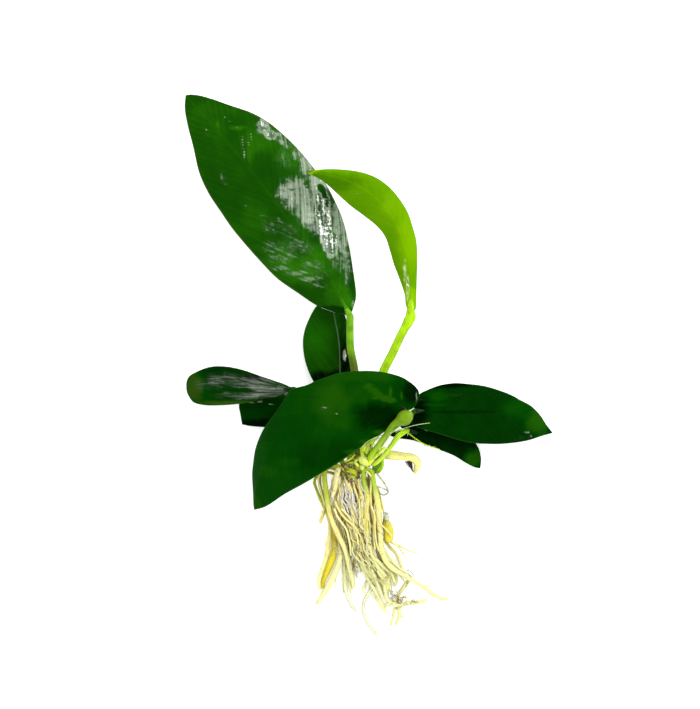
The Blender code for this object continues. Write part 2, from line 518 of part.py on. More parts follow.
# --------------------------------------------------------- rhizome and its bud
rhizome_strand = strand_points(RHIZOME, 1.4)
make_tube("rhizome", rhizome_strand, 3, RHIZOME_SKIN)
bud_strand = strand_points(RHIZOME_BUD, 1.2)
make_tube("rhizome_bud", bud_strand, 2, STALK)

# ----------------------------------------------------------------- hooked root
hooked_strand = strand_points(HOOKED_ROOT, 1.8)
make_tube("hooked_root", hooked_strand, 2, ROOT_CREAM)

sheath_curve = bpy.data.curves.new("hooked_root_sheath", "CURVE")
sheath_curve.dimensions = "2D"
sheath_curve.fill_mode = "BOTH"
sheath_curve.resolution_u = 1
sheath_curve.render_resolution_u = 0
sheath_curve.extrude = SHEATH_THICKNESS * MM / 2
sheath_outline = sheath_curve.splines.new("POLY")
sheath_outline.points.add(len(SHEATH) - 1)
sheath_outline.use_cyclic_u = True
sheath_origin = on_plan((*SHEATH[0], SHEATH_HEIGHT))
for slot, corner in zip(sheath_outline.points, SHEATH):
    offset = (on_plan((*corner, SHEATH_HEIGHT)) - sheath_origin) * MM
    slot.co = (offset[0], offset[1], 0.0, 1.0)
place(bpy.data.objects.new("hooked_root_sheath", sheath_curve), sheath_origin,
      SHEATH_SKIN)

# ----------------------------------------------------------------------- roots
root_strands = [strand_points(drawn, ROOT_STEP) for drawn in ROOTS.values()]
spread_roots(root_strands, [rhizome_strand, bud_strand, hooked_strand,
                            *stalk_strands.values()])
for root, strand in zip(ROOTS, root_strands):
    skin = ROOT_CREAM
    if root in OCHRE_ROOTS:
        skin = ROOT_OCHRE
    elif root in GREEN_ROOTS:
        skin = ROOT_GREEN
    make_tube(root, strand, 1, skin)

bpy.context.view_layer.update()
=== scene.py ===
"""The finished look of a bare-rooted anubias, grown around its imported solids.

The plan is drawn on a sheet with three units to the millimetre, x to the right
and y down the sheet. Every drawn point adds its height above the surface in
millimetres, and a strand's point adds its radius too.
"""

import math
from functools import cache, partial

import bmesh
import bpy
import numpy as np
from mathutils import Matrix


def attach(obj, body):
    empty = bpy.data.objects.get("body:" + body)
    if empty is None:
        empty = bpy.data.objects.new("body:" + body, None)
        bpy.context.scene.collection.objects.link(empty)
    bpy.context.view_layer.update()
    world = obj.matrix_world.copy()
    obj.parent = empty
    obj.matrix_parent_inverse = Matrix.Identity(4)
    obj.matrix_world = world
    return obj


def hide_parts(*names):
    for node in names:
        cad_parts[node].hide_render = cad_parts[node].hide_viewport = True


bl_info = {
    "name": "Bare-rooted anubias",
    "version": (1, 0, 0),
    "blender": (4, 5, 0),
    "location": "View3D > Sidebar > Anubias",
    "description": "Leaves, stalks, rhizome and roots of a bare-rooted anubias",
    "category": "Add Mesh",
}

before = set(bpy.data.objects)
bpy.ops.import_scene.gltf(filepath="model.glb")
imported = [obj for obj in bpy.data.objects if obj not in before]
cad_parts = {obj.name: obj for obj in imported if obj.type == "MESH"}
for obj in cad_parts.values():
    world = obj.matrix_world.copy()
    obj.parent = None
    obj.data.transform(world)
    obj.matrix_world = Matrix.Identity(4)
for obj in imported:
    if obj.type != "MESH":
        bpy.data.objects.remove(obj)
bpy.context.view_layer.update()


# ---------------------------------------------------------------- the plan
def line_of(text):
    """A drawn line: the numbers of each point, and a comma between two points."""
    return [tuple(map(float, point.split())) for point in text.split(",")]


def lines_of(text):
    """Drawn lines, with a semicolon between two of them."""
    return [line_of(line) for line in text.split(";")]


MM = 0.001
SHEET_UNITS_PER_MM = 3.0
SHEET_CENTRE = (368.5, 365.5)     # the sheet point over the model's origin
PICTURE_CENTRE = (350, 354.5)     # the sheet point that the camera stands over
LOWEST = 0.00003                  # m above the surface; nothing grows lower

# Millimetres between the points of a solid's line, and between two roots.
ROOT_STEP = 3.2
ROOT_GAP = 0.36
STALK_STEP = 5.0
SHAPED_STALKS = {"stalk_front": 1.7, "stalk_young": 2.2, "crown_stub": 1.4}

# Each blade: the margin on one side, the midrib from the base to the tip, the
# margin on the other side, and how far it swells between them, in mm. Both
# margins begin and end where the midrib does.
BLADES = {
    "leaf_tall": (*lines_of("""333 312 10.5, 316 305 8, 298 293 5.6, 278 279 3.8, 263 264 2.6,
    246 245 1.7, 232 228 1.1, 221 212 .7, 208.6 193.2 .5, 199.2 172.4 .4, 193.4 147.4 .35,
    188 126.4 .35, 184.9 109 .35;
    350 316 12, 344 304 13, 333 284 13.6, 314 257 13, 294 229 11.8, 274.5 201 10, 253 173 8,
    232 147.5 5.6, 209 121 2.8, 185.5 95 .4;
    354 306 11.6, 356 294 10.6, 353 270 8.6, 348 241 7.2, 341 215 6.2, 327 186 5.2, 316 171 4.8,
    296 147 4, 272 125 3.2, 252 113 2.5, 232 106 1.8, 214 99.6 1.2, 201 95.8 .8,
    192 94.4 .5"""), 0.9),
    "leaf_young": (*lines_of("""405.8 306 17.2, 404.6 295 17.4, 399.6 279.5 17.6,
    393.8 264.4 17.8, 389.8 250.6 18.2, 385 237 19, 376.2 226 20.2, 363.4 215.8 21,
    349.6 205.4 21.4, 336 193 21.6, 322 181 21.8;
    410.5 313 17.4, 411 297 19.2, 409 270 21.4, 403 243 23.6, 392 218 25.6, 375 198 26.6,
    353 184 26.4, 330 176.5 24.8, 305 172.6 21.6;
    415.5 309 17.2, 416 297 17.4, 416.5 279 18.2, 417 258 19.6, 416 241 21, 412 226 22.4,
    407 212 23.6, 398 198 24.4, 387 186 24.8, 373 177 24.6, 356 172 24, 335 170 23,
    317 170.6 22.2"""), 0.5),
    "leaf_rear": (*lines_of("""327 397 5.2, 318 388 4, 311 377 2.8, 306 364 1.8, 303.5 352 1.1,
    303 340 .7, 305 329 .5, 309 319 .5, 315 308 .6, 323 300 .9;
    338 404 6, 340 385 6.4, 340 368 6.2, 339.5 350 5.6, 338 335 4.8, 335 320 3.6, 333 307 2.4,
    333 294 1.5;
    346 391 5.4, 350 375 4.6, 350.5 360 3.8, 350 345 3.2, 348 330 2.6, 345 315 2.2,
    341 303 1.8"""), 0.4),
    "leaf_left": (*lines_of("""285 384.4 12.4, 276 381.2 11.8, 261 376.2 10.8, 247 371.2 9.6,
    234 367.8 8, 220 366.2 6.2, 209 367.2 4.6, 198 371.2 3, 189.6 376 1.8, 186.6 382 .9;
    294 389 13, 275 389.5 13.6, 252 388.5 13, 230 386.5 11, 212 385 8, 198 385.5 4.4,
    186.2 388 .35;
    289 394.4 12, 278 396.4 11, 266 398.5 10, 252 401.5 8.6, 237 404 7, 218 405.3 5, 204 405 3.4,
    194 402.5 2, 189.6 397.4 1.1, 187 392.4 .5"""), 0.5),
    "leaf_left_low": (*lines_of("""294 397 4.6, 276 390 3, 258 389 2, 244 395 1, 239 404 .5,
    240.5 415 .35;
    306 418 8, 296 414 7.4, 280 409 6, 263 408 4, 250 413 1.8, 242 424.5 .35;
    293 425 6, 276 427.5 4, 262 427 2.2, 250 426 .9"""), 0.3),
    "leaf_front": (*lines_of("""412 408.5 24.6, 417 402 24.6, 419 395 25.2, 416.5 388 26,
    409 381.5 27, 400 376.5 28, 387.5 373 28.8, 375 371.2 29.4, 358 371 29.8, 339 373 29.8,
    327 377 29.4, 315 381.2 28.6, 308 384.6 28, 299 387 27.2, 291 389.4 26.2, 286.5 396 25.2,
    281 405 24, 275 414 22.2, 265 427 19, 259 439 16, 255.4 450 13.2, 253.4 463 10.2,
    252.3 475 7.4, 253.2 493 3.2;
    404 411 25, 398 401 28, 388 392.5 31, 375 387.5 33, 350 386 34.6, 325 394 34.2, 304 411 31.8,
    285 435 27, 270 458 20.4, 261 481 12.6, 256 498 5.4, 254 510 .35;
    399 419.5 25, 390 427.6 25.2, 377 436.2 25.2, 358.4 448.6 24.6, 339.4 461.8 22.6,
    321 473 19.2, 303.5 483.4 14.6, 285 493.7 9.4, 272.6 502.2 5, 264.4 507 2.4"""), 0.8),
    "leaf_right": (*lines_of("""414 401 18, 420 393.5 17.2, 428 389.5 16.6, 437 386 16,
    445.5 384 15.4, 456 383 14.6, 469 384 13.4, 484 386 11.8, 498 390 10, 511 395 8,
    521 400.5 6.2, 531 406 4.4, 540 415 2.6, 546.5 425 1.2;
    414 411 19, 432 410 19.8, 455 410.5 19, 485 414 16, 512 419.5 11.2, 535 426.5 5.4,
    553 433 .35;
    409.5 417 18.4, 414 425 17.4, 428 430.5 16.2, 437 433 15.2, 448 436.5 13.8, 463 441 12,
    475 443 10.4, 484 443.6 9, 500 443.8 7, 516 442.4 4.8, 529 440 3, 542 435.8 1.4"""), 0.6),
    "leaf_right_low": (*lines_of("""400 426 9.4, 408 419 8.8, 422 418.5 7.8, 438 422 6.4,
    455 428 4.6, 470 437 2.8, 478 447 1.6, 481 458 .8;
    408 431 10, 425 434 9, 443 441 7, 460 451 4.4, 472 461 2, 480.5 468.5 .35;
    398 430.6 9.8, 389 434.6 9.4, 398 438 9, 412 440 7.8, 427 445 6.2, 439 449.5 5,
    454 455.5 3.4, 464.5 462 2, 474 467 .9"""), 0.3),
}
STALKS = {
    "stalk_tall": line_of("""350 318.2 12 1.25, 350 335 12 1.25, 350.2 346 12 1.25,
    352.5 360 12 1.3, 355 372 12 1.35, 356 390 12 1.35, 357 412 12.2 1.35, 358 443 12.4 1.45"""),
    "stalk_young": line_of("""410.3 315.4 17.3 1.3, 409.4 320 17.1 1.7, 406.6 325.5 17 1.4,
    403.5 331 16.8 1.3, 398.5 341 16.5 1.3, 392.5 354 16 1.3, 387 364.5 15.6 1.3,
    383.5 372 15.2 1.3, 378.5 388 15 1.3, 374 408 14.6 1.3, 370 430 14 1.3,
    368.3 443 13.8 1.3"""),
    "stalk_rear": line_of("""338.6 407 6 .9, 342 420 6.6 .95, 347 437 7.6 1, 351.5 449 8.4 1"""),
    "stalk_left": line_of("""297.5 392 13 .9, 306 400 13 .95, 320 416 12.8 1, 334 435 12.2 1,
    347 452.3 11.4 1"""),
    "stalk_left_low": line_of("""308.5 420.5 8.1 .85, 318 430 8.6 .9, 329 444 9.2 .9,
    341 460 9.6 .9"""),
    "stalk_front": line_of("""411.5 410.5 28.9 .6, 410.4 411.6 28.9 1.9, 408 413.5 28.9 2.6,
    404.5 416 28.9 2.85, 400 418.6 28.8 2.5, 395.5 421 28.6 1.8, 391.5 424 28.3 1.15,
    386.5 431 27.2 .95, 380.6 442.4 23.8 .95, 376 452 19.4 1.1, 372.6 458.6 16.2 1.6,
    371.4 460.6 15.4 1.7"""),
    "stalk_right": line_of("""411.5 414 18.6 .9, 403 420.5 18 .9, 392 429 16.8 .9,
    383 440.5 15.2 .9, 377 450 13.7 .9, 375 452.5 13.3 .9"""),
    "stalk_right_low": line_of("""406.5 430.8 10.9 .9, 402 432.4 11.8 1.05,
    397.5 436.6 12.8 1.05, 393 443 13.9 .95, 388 449.8 14.8 .9, 382.5 456.5 15 .9,
    378 461 14.4 .9"""),
    "crown_stub": line_of("""361.3 444.5 15.6 .55, 361.6 449 15.8 .65, 362.6 455.5 15.4 .75"""),
}
RHIZOME = line_of("""340 476.5 9 1, 343 473.8 9.4 1.9, 347 470.3 9.9 2.6, 352 466.4 10.3 2.6,
    357 462.6 10.7 3.2, 362 459 11 2.9, 366 455.8 11 3.1, 370 452.6 11 2.5,
    372.6 450.6 11 1.4""")
RHIZOME_BUD = line_of("""377.5 461 10.8 .6, 380.6 462.6 11.1 1, 381.6 465.6 11 1.15,
    380.4 468.8 10.6 .95, 377.6 472.4 9.8 .4""")
HOOKED_ROOT = line_of("""385.5 456 10.8 1.1, 388 455.5 11.2 1.45, 392 455 11.4 1.6,
    398 455.6 11.4 1.42, 405 456.4 11.2 1.32, 411 457.2 10.8 1.35, 415.4 459.8 10.2 1.42,
    417.4 464 9.4 1.3, 416.4 468.8 8.6 1, 413.9 473.6 7.8 .4""")

# The roots, as they were laid. Where two cross, spread_roots parts them.
ROOTS = {f"root_{number:02d}": line for number, line in enumerate(lines_of("""340 467 10.5 .7,
    334 464 11 .8, 328 466 11.5 .8, 325 472 11.6 .8, 325 484 11.5 .85, 326.5 494 11.3 .85,
    328.7 508 10.8 .85, 331 517 10.4 .85, 336 530 9.2 .85, 342 542 7.6 .85, 346.5 554 5.8 .85,
    349.5 567 3.9 .9, 352 579 2 .85, 353.5 588.5 .9 .5;
    337 470 8 .5, 329 467.5 8.4 .5, 322.5 470.5 9 .55, 319.5 478 9.2 .55, 321 490 9 .55,
    324 500 8.6 .55, 325 508 8.1 .5, 322.5 516 7.3 .5, 319.8 523.5 6.4 .35;
    337 474 6.3 .45, 328 472 6.4 .45, 319 474 7.2 .45, 314.5 480 7.8 .45, 316 487 8 .45,
    319 496 7.9 .45, 323.5 506 7.3 .5, 328 517 6.3 .5, 330 530 5.2 .6, 328.5 542 4.4 .65,
    327 553 3.6 .7, 324 564 2.8 .7, 320.5 574 1.8 .7, 318.8 583 1.1 .6, 319.8 590.5 .7 .35;
    345 475 5.6 .45, 341 486 5.4 .5, 337.5 497 5.2 .5, 334.5 508 4.8 .6, 334 520 4.6 .9,
    335 532 4.4 1.15, 334.5 544 4 1.25, 333.5 554 3.4 1.3, 330.5 563 2.7 1.3, 326.5 572 1.9 1.15,
    323 581 1.2 .85, 321.8 589 .8 .45;
    348.5 478.5 6.9 .5, 344.5 489 7.8 .55, 340.5 505 8 .6, 340 520 7.4 .65, 341 535 5.9 .7,
    341.5 548 4.6 .8, 340 559 3.6 .9, 337 568 2.8 1, 333 577 2 1.1, 328 587 1.4 1.05,
    321.5 597 1 .8, 316.5 605 .6 .5;
    350 476 5.4 .45, 347.5 486 5.8 .5, 345 496 6 .5, 343 507 6.2 .5, 343 520 5.6 .5,
    343.5 535 4.4 .55, 344 549 3.2 .6, 344.5 562 2.2 .65, 344.5 574 1.4 .65, 345 585 .9 .6,
    347 595 .7 .5, 350.5 604 .6 .45, 356.7 612 .45 .35;
    343 465 12.8 .6, 339 468 12.6 .85, 336.7 474 12.4 .95, 336.3 481 12.1 .95,
    335.5 487 11.6 .85, 334 492 11 .6, 331.8 497.5 10.3 .3;
    344.4 480.6 9.6 .45, 340 490 9.9 .45, 338.5 501 9.4 .5, 342 509.5 9 .5, 347 518 8.4 .5,
    351.5 530 7.4 .55, 354.5 545 6 .55, 358 556 5 .55, 362 566 4 .5, 367 577 2.9 .5,
    372.5 586.5 1.9 .5, 377.5 595 1.2 .5, 382 604 .8 .5, 386 611 .6 .4;
    351.5 480.5 7.6 .4, 348.5 490 8.2 .4, 346 502 8 .45, 348 511 7.6 .45, 351 521 6.9 .45,
    353.5 534 5.9 .5, 355 547 4.7 .5, 355 558 3.4 .45, 354 568 2.2 .4, 356 575 1.2 .35;
    345.5 478.6 12.4 .4, 349.2 488 11.7 .45, 352 497 10.9 .45, 352.3 506 10.2 .45,
    356 514 9.4 .5, 359.5 524 8.4 .5, 362 536 7.2 .5, 364.5 548 6 .5, 367.5 559 4.8 .5,
    371 569 3.7 .5, 375.5 579 2.6 .5, 379.5 588.5 1.6 .5, 382.5 597.5 .9 .45;
    356 472 5.8 .4, 355.8 487 6.2 .45, 355 501 6 .45, 356.5 513 5.2 .45, 358 527 4.2 .45,
    360 541 3.2 .45, 363 553 2.3 .45, 367.5 565 1.4 .4;
    363.5 470 13.4 .7, 363 477 13.5 .8, 364.5 485 13.2 .9, 367 493 12.6 1, 367.2 504 11.8 .95,
    366.3 515 10.9 .9, 366.5 527 9.7 .9, 368 539 8.3 .85, 370.5 550 6.9 .85, 374 560 5.5 .85,
    379 569 4.2 .85, 385 576.5 3.1 .8, 388.5 584 2.2 .75, 386.5 591.5 1.5 .6, 387 598 .9 .45;
    371 471 13.8 .75, 373.3 480 13.4 .8, 375 489 12.8 .85, 377 499 12 1, 378.5 510 11 1.1,
    379 522 9.8 1, 380 535 8.4 .95, 381.5 548 6.8 .95, 385 559 5.3 .95, 391 567 4.1 .95,
    399 572.5 3.2 .9, 408 578 2.5 .9, 417 583 1.9 .85, 425 588 1.4 .9, 433 594 1.1 .9,
    441 598.5 .9 .7, 449.3 598.8 .6 .4;
    377 486 9.5 .5, 380 496 9.4 .8, 382.5 507 9 1.15, 385 517 8.4 1.3, 387.2 527 7.6 1.35,
    389 536 6.7 1.35, 388 543 6 .6;
    384.5 533 4.6 .35, 390 541 4.8 .4, 397.5 544.8 4.3 .4, 404 548.3 3.6 .35, 411 551.3 2.8 .3,
    418.5 553.7 2 .2;
    384 539 3 .35, 389 546 3.4 .45, 395 552 3 .45, 398.7 559 2.5 .5, 401.2 566 1.7 .5,
    402.5 571 .9 .4;
    409 580.5 .8 .55, 403.5 587.5 .8 .65, 399.5 594 .8 .65, 396.8 600 1 .6, 399 606 1.1 .55,
    400.5 612.5 .9 .55, 398 619.5 .7 .5, 394.8 626.5 .5 .35;
    389 603.8 1.4 .5, 393 605.3 1.9 .6, 398 605.5 2.3 .6, 405 603.5 2 .65, 413 603 1.6 .7,
    420.5 601.7 1.1 .65, 428 599.8 .7 .4;
    394.6 609 .5 .4, 393.4 617 .5 .4, 390.4 626.5 .5 .3;
    367.5 470.5 9.6 .5, 369.8 480 9.5 .5, 370.8 490 9 .55, 371.8 505 8.4 .6, 372.5 520 7.5 .6,
    373.5 534 6.4 .65, 376.5 547 5 .7, 381 558 3.8 .7, 387.5 567 2.6 .7, 393.5 573.5 1.8 .75,
    396.2 579.5 1.2 .7, 395 586.5 .7 .4;
    369 566 1.6 .4, 372.5 575 1.3 .45, 373 584 1.1 .5, 370 591.5 1 .5, 365.8 598 .8 .5,
    363.3 606 .6 .48, 364.3 615 .5 .45, 368.5 624.5 .5 .45, 374 631.5 .5 .45, 378.5 637 .45 .3;
    358.5 473.5 7.4 .45, 360 490 7.8 .5, 360.8 505 7.2 .5, 362 520 6.4 .5, 364 535 5.2 .55,
    367 549 4 .55, 371.5 561 3 .5, 376.5 572 2.1 .5, 381.5 582 1.4 .5, 383.4 590 .9 .45,
    383.6 595 .6 .3;
    353 474 4.2 .4, 351 486 3.8 .4, 350 497 3.6 .45, 349.5 510 3.4 .5, 349.5 524 3 .5,
    350.5 538 2.6 .5, 352.5 550 2.2 .5, 357 561 1.7 .5, 363.5 571 1.2 .5, 370 579.5 .9 .45,
    376 587 .7 .4;
    363 468 5.8 .45, 365.2 480 5.6 .45, 366.8 492 5.4 .5, 369 507 4.9 .55, 371.5 522 4.2 .55,
    375 536 3.4 .6, 380 549 2.6 .6, 387 559 1.9 .6, 393.5 566 1.3 .6, 398.5 570 .9 .4"""), 1)}
OCHRE_ROOTS = ("root_04", "root_14")
GREEN_ROOTS = ("root_02", "root_12", "root_13")
YELLOWISH_ROOTS = ("root_01", "root_02", "root_03")
WHITE_ROOTS = ("root_06", "root_21")

# The point in the rhizome that each stalk grows from.
STALK_FEET = {"stalk_tall": (361, 457, 11.4, 1.9), "stalk_young": (368.4, 453, 12, 1.6),
    "stalk_rear": (355.5, 460, 10, 1.2), "stalk_left": (353, 463, 11, 1.2),
    "stalk_left_low": (346, 468, 10, 1.1), "stalk_front": (368, 464, 12.4, 1.8),
    "stalk_right": (370, 457, 12, 1.2), "stalk_right_low": (371.5, 464.5, 12.6, 1.2),
    "crown_stub": (364, 460.5, 12.6, 1.1)}

# How far it runs into the blade's midrib, where that isn't 1.5 mm.
STALK_REACH = {"stalk_young": 5.0, "stalk_tall": 3.2}

# The swollen stalk end above the crown, drawn finer than its solid, its bend
# down to the blade's base below it, and the knee of the young leaf's stalk.
KNOB_STALK = line_of("""412.4 412.6 28.9 .9, 410.6 413.6 28.9 1.5, 408.4 415 28.9 2.05,
    406 416.4 28.9 2.5, 403 418.2 28.9 2.55, 400.2 420 28.8 2.1, 397.6 421.4 28.7 1.55,
    395 422.8 28.5 1.15, 392 425 28.2 .92, 389.4 428.4 27.6 .86, 386.4 433 26.4 .84,
    382.4 438.8 24.4 .86, 378 445.2 21.4 .92, 373.8 451 18.4 .98, 370.8 456 16.4 1.02,
    368.8 460 14.8 1, 366.6 463.4 13.2 .8""")
KNOB_BEND = line_of("""403 408 25.4 .8, 404 411 25.4 1, 404.6 413.4 26.2 1.2,
    404.8 415.6 27.6 1.4""")
YOUNG_KNEE = line_of("""411.6 310 17.4 .9, 412.2 315 17.2 1.15, 411.6 319.4 17 1.2,
    408 323 17 1""")

# Swellings on the rhizome, where old roots and stalks left it, and the pale
# lumps of the growing crown.
RHIZOME_KNOBS = lines_of("""346.6 466.4 11.6 .9, 349 470 12.8 1.5, 352 473.6 12.9 1.7,
    354.6 477.4 11.8 1;
    340 471 9.4 .9, 338.5 468.6 9.8 1, 338 466 9.8 .6;
    358 466 9.4 1.6, 358.6 470.6 9 1.4, 358.4 474 8.4 .7;
    360.6 458.4 13 .7, 363.6 460.6 13.9 1, 366.4 463.4 13.6 .9, 367.4 466 12.6 .5""")
CROWN_HEART = lines_of("""358.6 458 14 .6, 361.6 459 14.9 1.2, 364.6 461.6 15 1.3,
    366 464.6 14.2 .9;
    360 464.6 14.2 .6, 362.4 466.4 14 .8, 361 469.4 13.4 .6;
    353.4 461 14 .35, 356 463.4 14.6 .5, 358.6 466.6 14.2 .4;
    362 455.6 14.6 .4, 365 457.6 15.2 .6, 366.4 460.4 15 .6""")

# The bud's sheath: its bright rim, and what the sheath is bent round.
BUD = lines_of("""376 455.4 12.8 .4, 380 456.8 13.2 .55, 382.2 460.4 12.8 .55,
    382.2 465 12.2 .55, 380.4 469.4 11.2 .55, 377.6 473 10 .4;
    374 457.6 12 .6, 377.4 461 12 1, 378.6 465.6 11.4 1.1, 377 470.4 10.4 .8,
    374.6 473 9.6 .4""")

# One rib of the leaf folded in the bud: x and how far each next rib lies to the
# left of it, y and how far down, the height and the radius.
FOLDED_RIB = line_of("""380.8 1.3 458.4 .5 13.2 .2, 380.4 1.6 462 .7 13.2 .34,
    379 1.6 466 .8 12.6 .34, 376.6 1.2 470 .5 11.4 .2""")

# Torn leaf sheaths that still stand on the crown, and the pale lower margin of
# the leaf at the right.
SHEATH_REMAINS = lines_of("""381 432.6 16 .5, 375 436.6 16.6 .8, 369 441 16.6 .95,
    364.6 446.4 16 .95, 362.6 452 15 .8;
    377 436 14.6 .5, 372.6 441 15.8 .75, 368.4 447 15.8 .8, 366 454 14.8 .7;
    371 445 15.6 .3, 372.6 449.6 15.8 .4, 370.4 453.6 15.2 .4;
    343.4 461.4 12.4 .25, 347.4 460.6 13 .35, 351.4 458.2 13.4 .38, 355.4 454 13.2 .3;
    348 463.4 13 .22, 352.4 462 14 .34, 356.4 460.4 14.4 .36, 359 457.6 14.2 .3;
    376.6 454.6 15.6 .35, 372.8 458.6 15.8 .6, 369.4 462.4 15.2 .75, 365.6 465.8 13.8 .65;
    385.6 446.6 16.6 .3, 381.4 450.8 16.8 .5, 377 454.8 16.4 .55, 372.6 459.4 15.4 .5;
    388.4 449 15 .2, 384.6 448 16.2 .25, 380 449.6 16.6 .25, 377.4 452 16 .2;
    383 445.4 16 .2, 379.6 448.4 16.8 .28, 376.6 450 17 .26, 374 453.6 16.4 .2;
    397.4 430 11.6 .3, 404 430.6 11 .3, 409 433.6 9.9 .26, 415.4 438.4 9.1 .24, 424 443.9 7.6 .2,
    440 449.6 5.8 .16""")

# Where the hooked root leaves the rhizome, and where root_07 leaves it.
HOOK_START = line_of("""376 457.4 11 .9, 381 457 10.8 1""")
ROOT_07_START = (340, 466.4, 12.7, 0.8)

# The two edges of the torn skin in the crook of the hooked root.
TORN_SKIN = lines_of("""404.4 461.4 9.9, 407.6 461 10.3, 411.6 461.6 9.9, 412.6 465.6 9.5,
    413 471.6 8.7;
    404.4 461.6 9.6, 406.4 464.4 8.9, 408.8 467.2 8.5, 411.2 470.2 8.3, 413 471.8 8.5""")

# Fine roots that are drawn one by one: the heights and the radii of both ends
# in mm, then the plan.
FINE_ROOTS = lines_of("""9.6 8.4 .3 .25, 322 472, 318.4 478, 319 484, 321 490, 323 498, 325 505;
    8.2 7.6 .26 .12, 325 508, 321 512, 318.4 515;
    7.8 7.2 .26 .12, 323.5 512, 321 516, 319 521;
    7.9 6.6 .24 .12, 324.5 508, 322.6 515, 321.4 521, 319 524;
    11.9 11 .33 .2, 344.4 481.4, 347.8 487.6, 351 493, 352 497.5, 351.7 504;
    11.2 9.6 .33 .22, 351.9 486, 352.7 497.5, 352 504, 356.1 511, 359.2 520.5;
    11.2 9.6 .34 .2, 339 486, 340.6 494, 344 502, 346.7 507.8, 349 512;
    10.6 9.2 .22 .14, 342 488, 344 497, 348.2 505.2, 350 511;
    12.6 12.4 .3 .16, 355.6 478, 356 482, 359 485, 363 487.4;
    12.3 11.6 .4 .24, 355 479, 356.4 483, 360 487, 362.2 493.7, 364 500;
    11.4 9.8 .24 .16, 355 480, 355 490, 354.6 498, 355 506;
    11.2 9.6 .24 .16, 357 480, 358 486, 359 498, 358.6 506;
    10.4 9 .26 .18, 360.6 496, 362 505, 363 514, 364 522;
    10.8 9.4 .4 .26, 359 492, 360 500, 361 510, 362 516;
    11.6 11 .26 .14, 361.6 495, 359.4 499.6, 357 503.4;
    11 8.6 .3 .2, 378.3 518, 381.8 525, 386.7 529.5, 392 536.4;
    6.2 3.6 .36 .2, 388 539, 391 541.4, 397 546, 403 552.4;
    3.8 2.2 .3 .14, 399.6 549, 401 550.4, 405 556, 408.5 562;
    2 1.2 .3 .16, 425 587, 429 585.6, 434.4 588.4;
    1.4 .7 .26 .12, 371 594, 373.6 597.4, 376.4 601;
    1 .4 .3 .14, 384.6 609, 388 613.6, 392.3 616;
    2.2 1.4 .26 .16, 406.2 583.2, 403 588, 400 593.7, 397.1 600.4;
    .9 .6 .4 .34, 399.6 614, 402 616.6, 404.6 619;
    12.4 12.2 .36 .26, 341 466, 345 471.4, 350 478;
    12.9 12 .26 .18, 343.6 464, 348 470.6, 353 479.6;
    4.4 3.6 .5 .3, 331 538, 327.4 541, 325.4 545.4;
    4.4 1.2 .32 .16, 371.6 556, 369.6 570, 366.4 583, 365.6 590;
    2.6 1.1 .26 .14, 369.6 572, 369.4 584, 369.2 590.4;
    3.2 1.2 .36 .2, 388 566, 396 572, 404 581, 407.6 588.4;
    3.6 .8 .36 .2, 352 560, 351 572, 349.6 582, 352.6 590;
    3.8 1.1 .36 .18, 338 560, 336.4 572, 335.6 581, 334.4 589.6;
    3.2 .8 .3 .16, 344.6 560, 343 574, 342.4 586, 344 594;
    4.2 1.3 .42 .2, 380 560, 385.6 571, 390.6 579.4, 391.6 590;
    3.8 1.2 .36 .2, 375 566, 379 577, 380.6 588, 381.6 594;
    11.2 8 .42 .36, 335 500, 338 508, 344 517, 351 523, 356 530, 358.4 545;
    10.6 6.4 .42 .34, 334 508, 338 517, 343 524, 347 531, 350 545, 351 556;
    10.6 6.6 .4 .32, 341 508, 346 513, 351 519, 357 525, 362 540, 363 552;
    13 7.4 .4 .36, 371.6 478, 370.6 492, 371.4 508, 373.6 520, 374 536, 375 550;
    12.4 6.8 .36 .32, 371 505, 374.6 515, 375 530, 377 545, 382 556;
    15 14.4 .42 .3, 366 470.6, 369.4 473.6, 371.6 476.4;
    7.4 5.4 .22 .16, 352 546, 353.4 554, 360 561.6, 368 565.4, 378 564.6, 386 562;
    6.6 1.6 .42 .32, 356 556, 362 563, 366 572, 372 584, 375.4 592;
    6 1.8 .7 .62, 375 558, 384 567, 391.6 574, 394.4 583;
    5 1.7 .5 .42, 377 570, 382 578, 389 584, 390.6 592;
    2.4 1.4 .34 .26, 368 580.4, 363.4 587.4, 364.4 592.6, 371.4 594.8, 378 601;
    2.2 .8 .72 .5, 370 581, 374.4 590, 377.6 598, 381 606, 386 612;
    3 1.9 .8 .6, 381.6 577, 384.2 586, 385.6 594, 388.6 601, 395 604""")

# Brown curls of dead roots, the pale strand across the crown, and thin clear
# strands of dead skin, drawn in the same way.
BROWN_CURLS = lines_of("""4.4 3.4 .18 .12, 352 563, 354 566, 352.6 569.4, 355 572;
    4 3 .2 .12, 356 566, 358 569, 357 573;
    14.2 14.4 .4 .2, 341 464.4, 344 465, 346.6 464;
    14 14.2 .2 .14, 341 469, 343.6 471.6, 346 475.4;
    13.6 13.2 .34 .24, 345.6 477.4, 348.6 479.6, 352.6 481;
    13.2 12.6 .3 .14, 348.6 478.6, 351.4 482, 353.4 486.4;
    14.8 14.6 .14 .1, 352.6 461, 355 463.4, 354 466;
    13 12.6 .16 .1, 355.4 479, 357 484, 355.4 488;
    16.9 16.8 .26 .18, 366 442, 369.6 444, 371 447""")
CROWN_STRAND = lines_of("""27.2 22 .15 .1, 361 447.6, 366 442.4, 372 438.6, 379 435.7, 390 432.6,
    403 428.2, 414.4 425, 422.3 423.6, 430 422.6""")
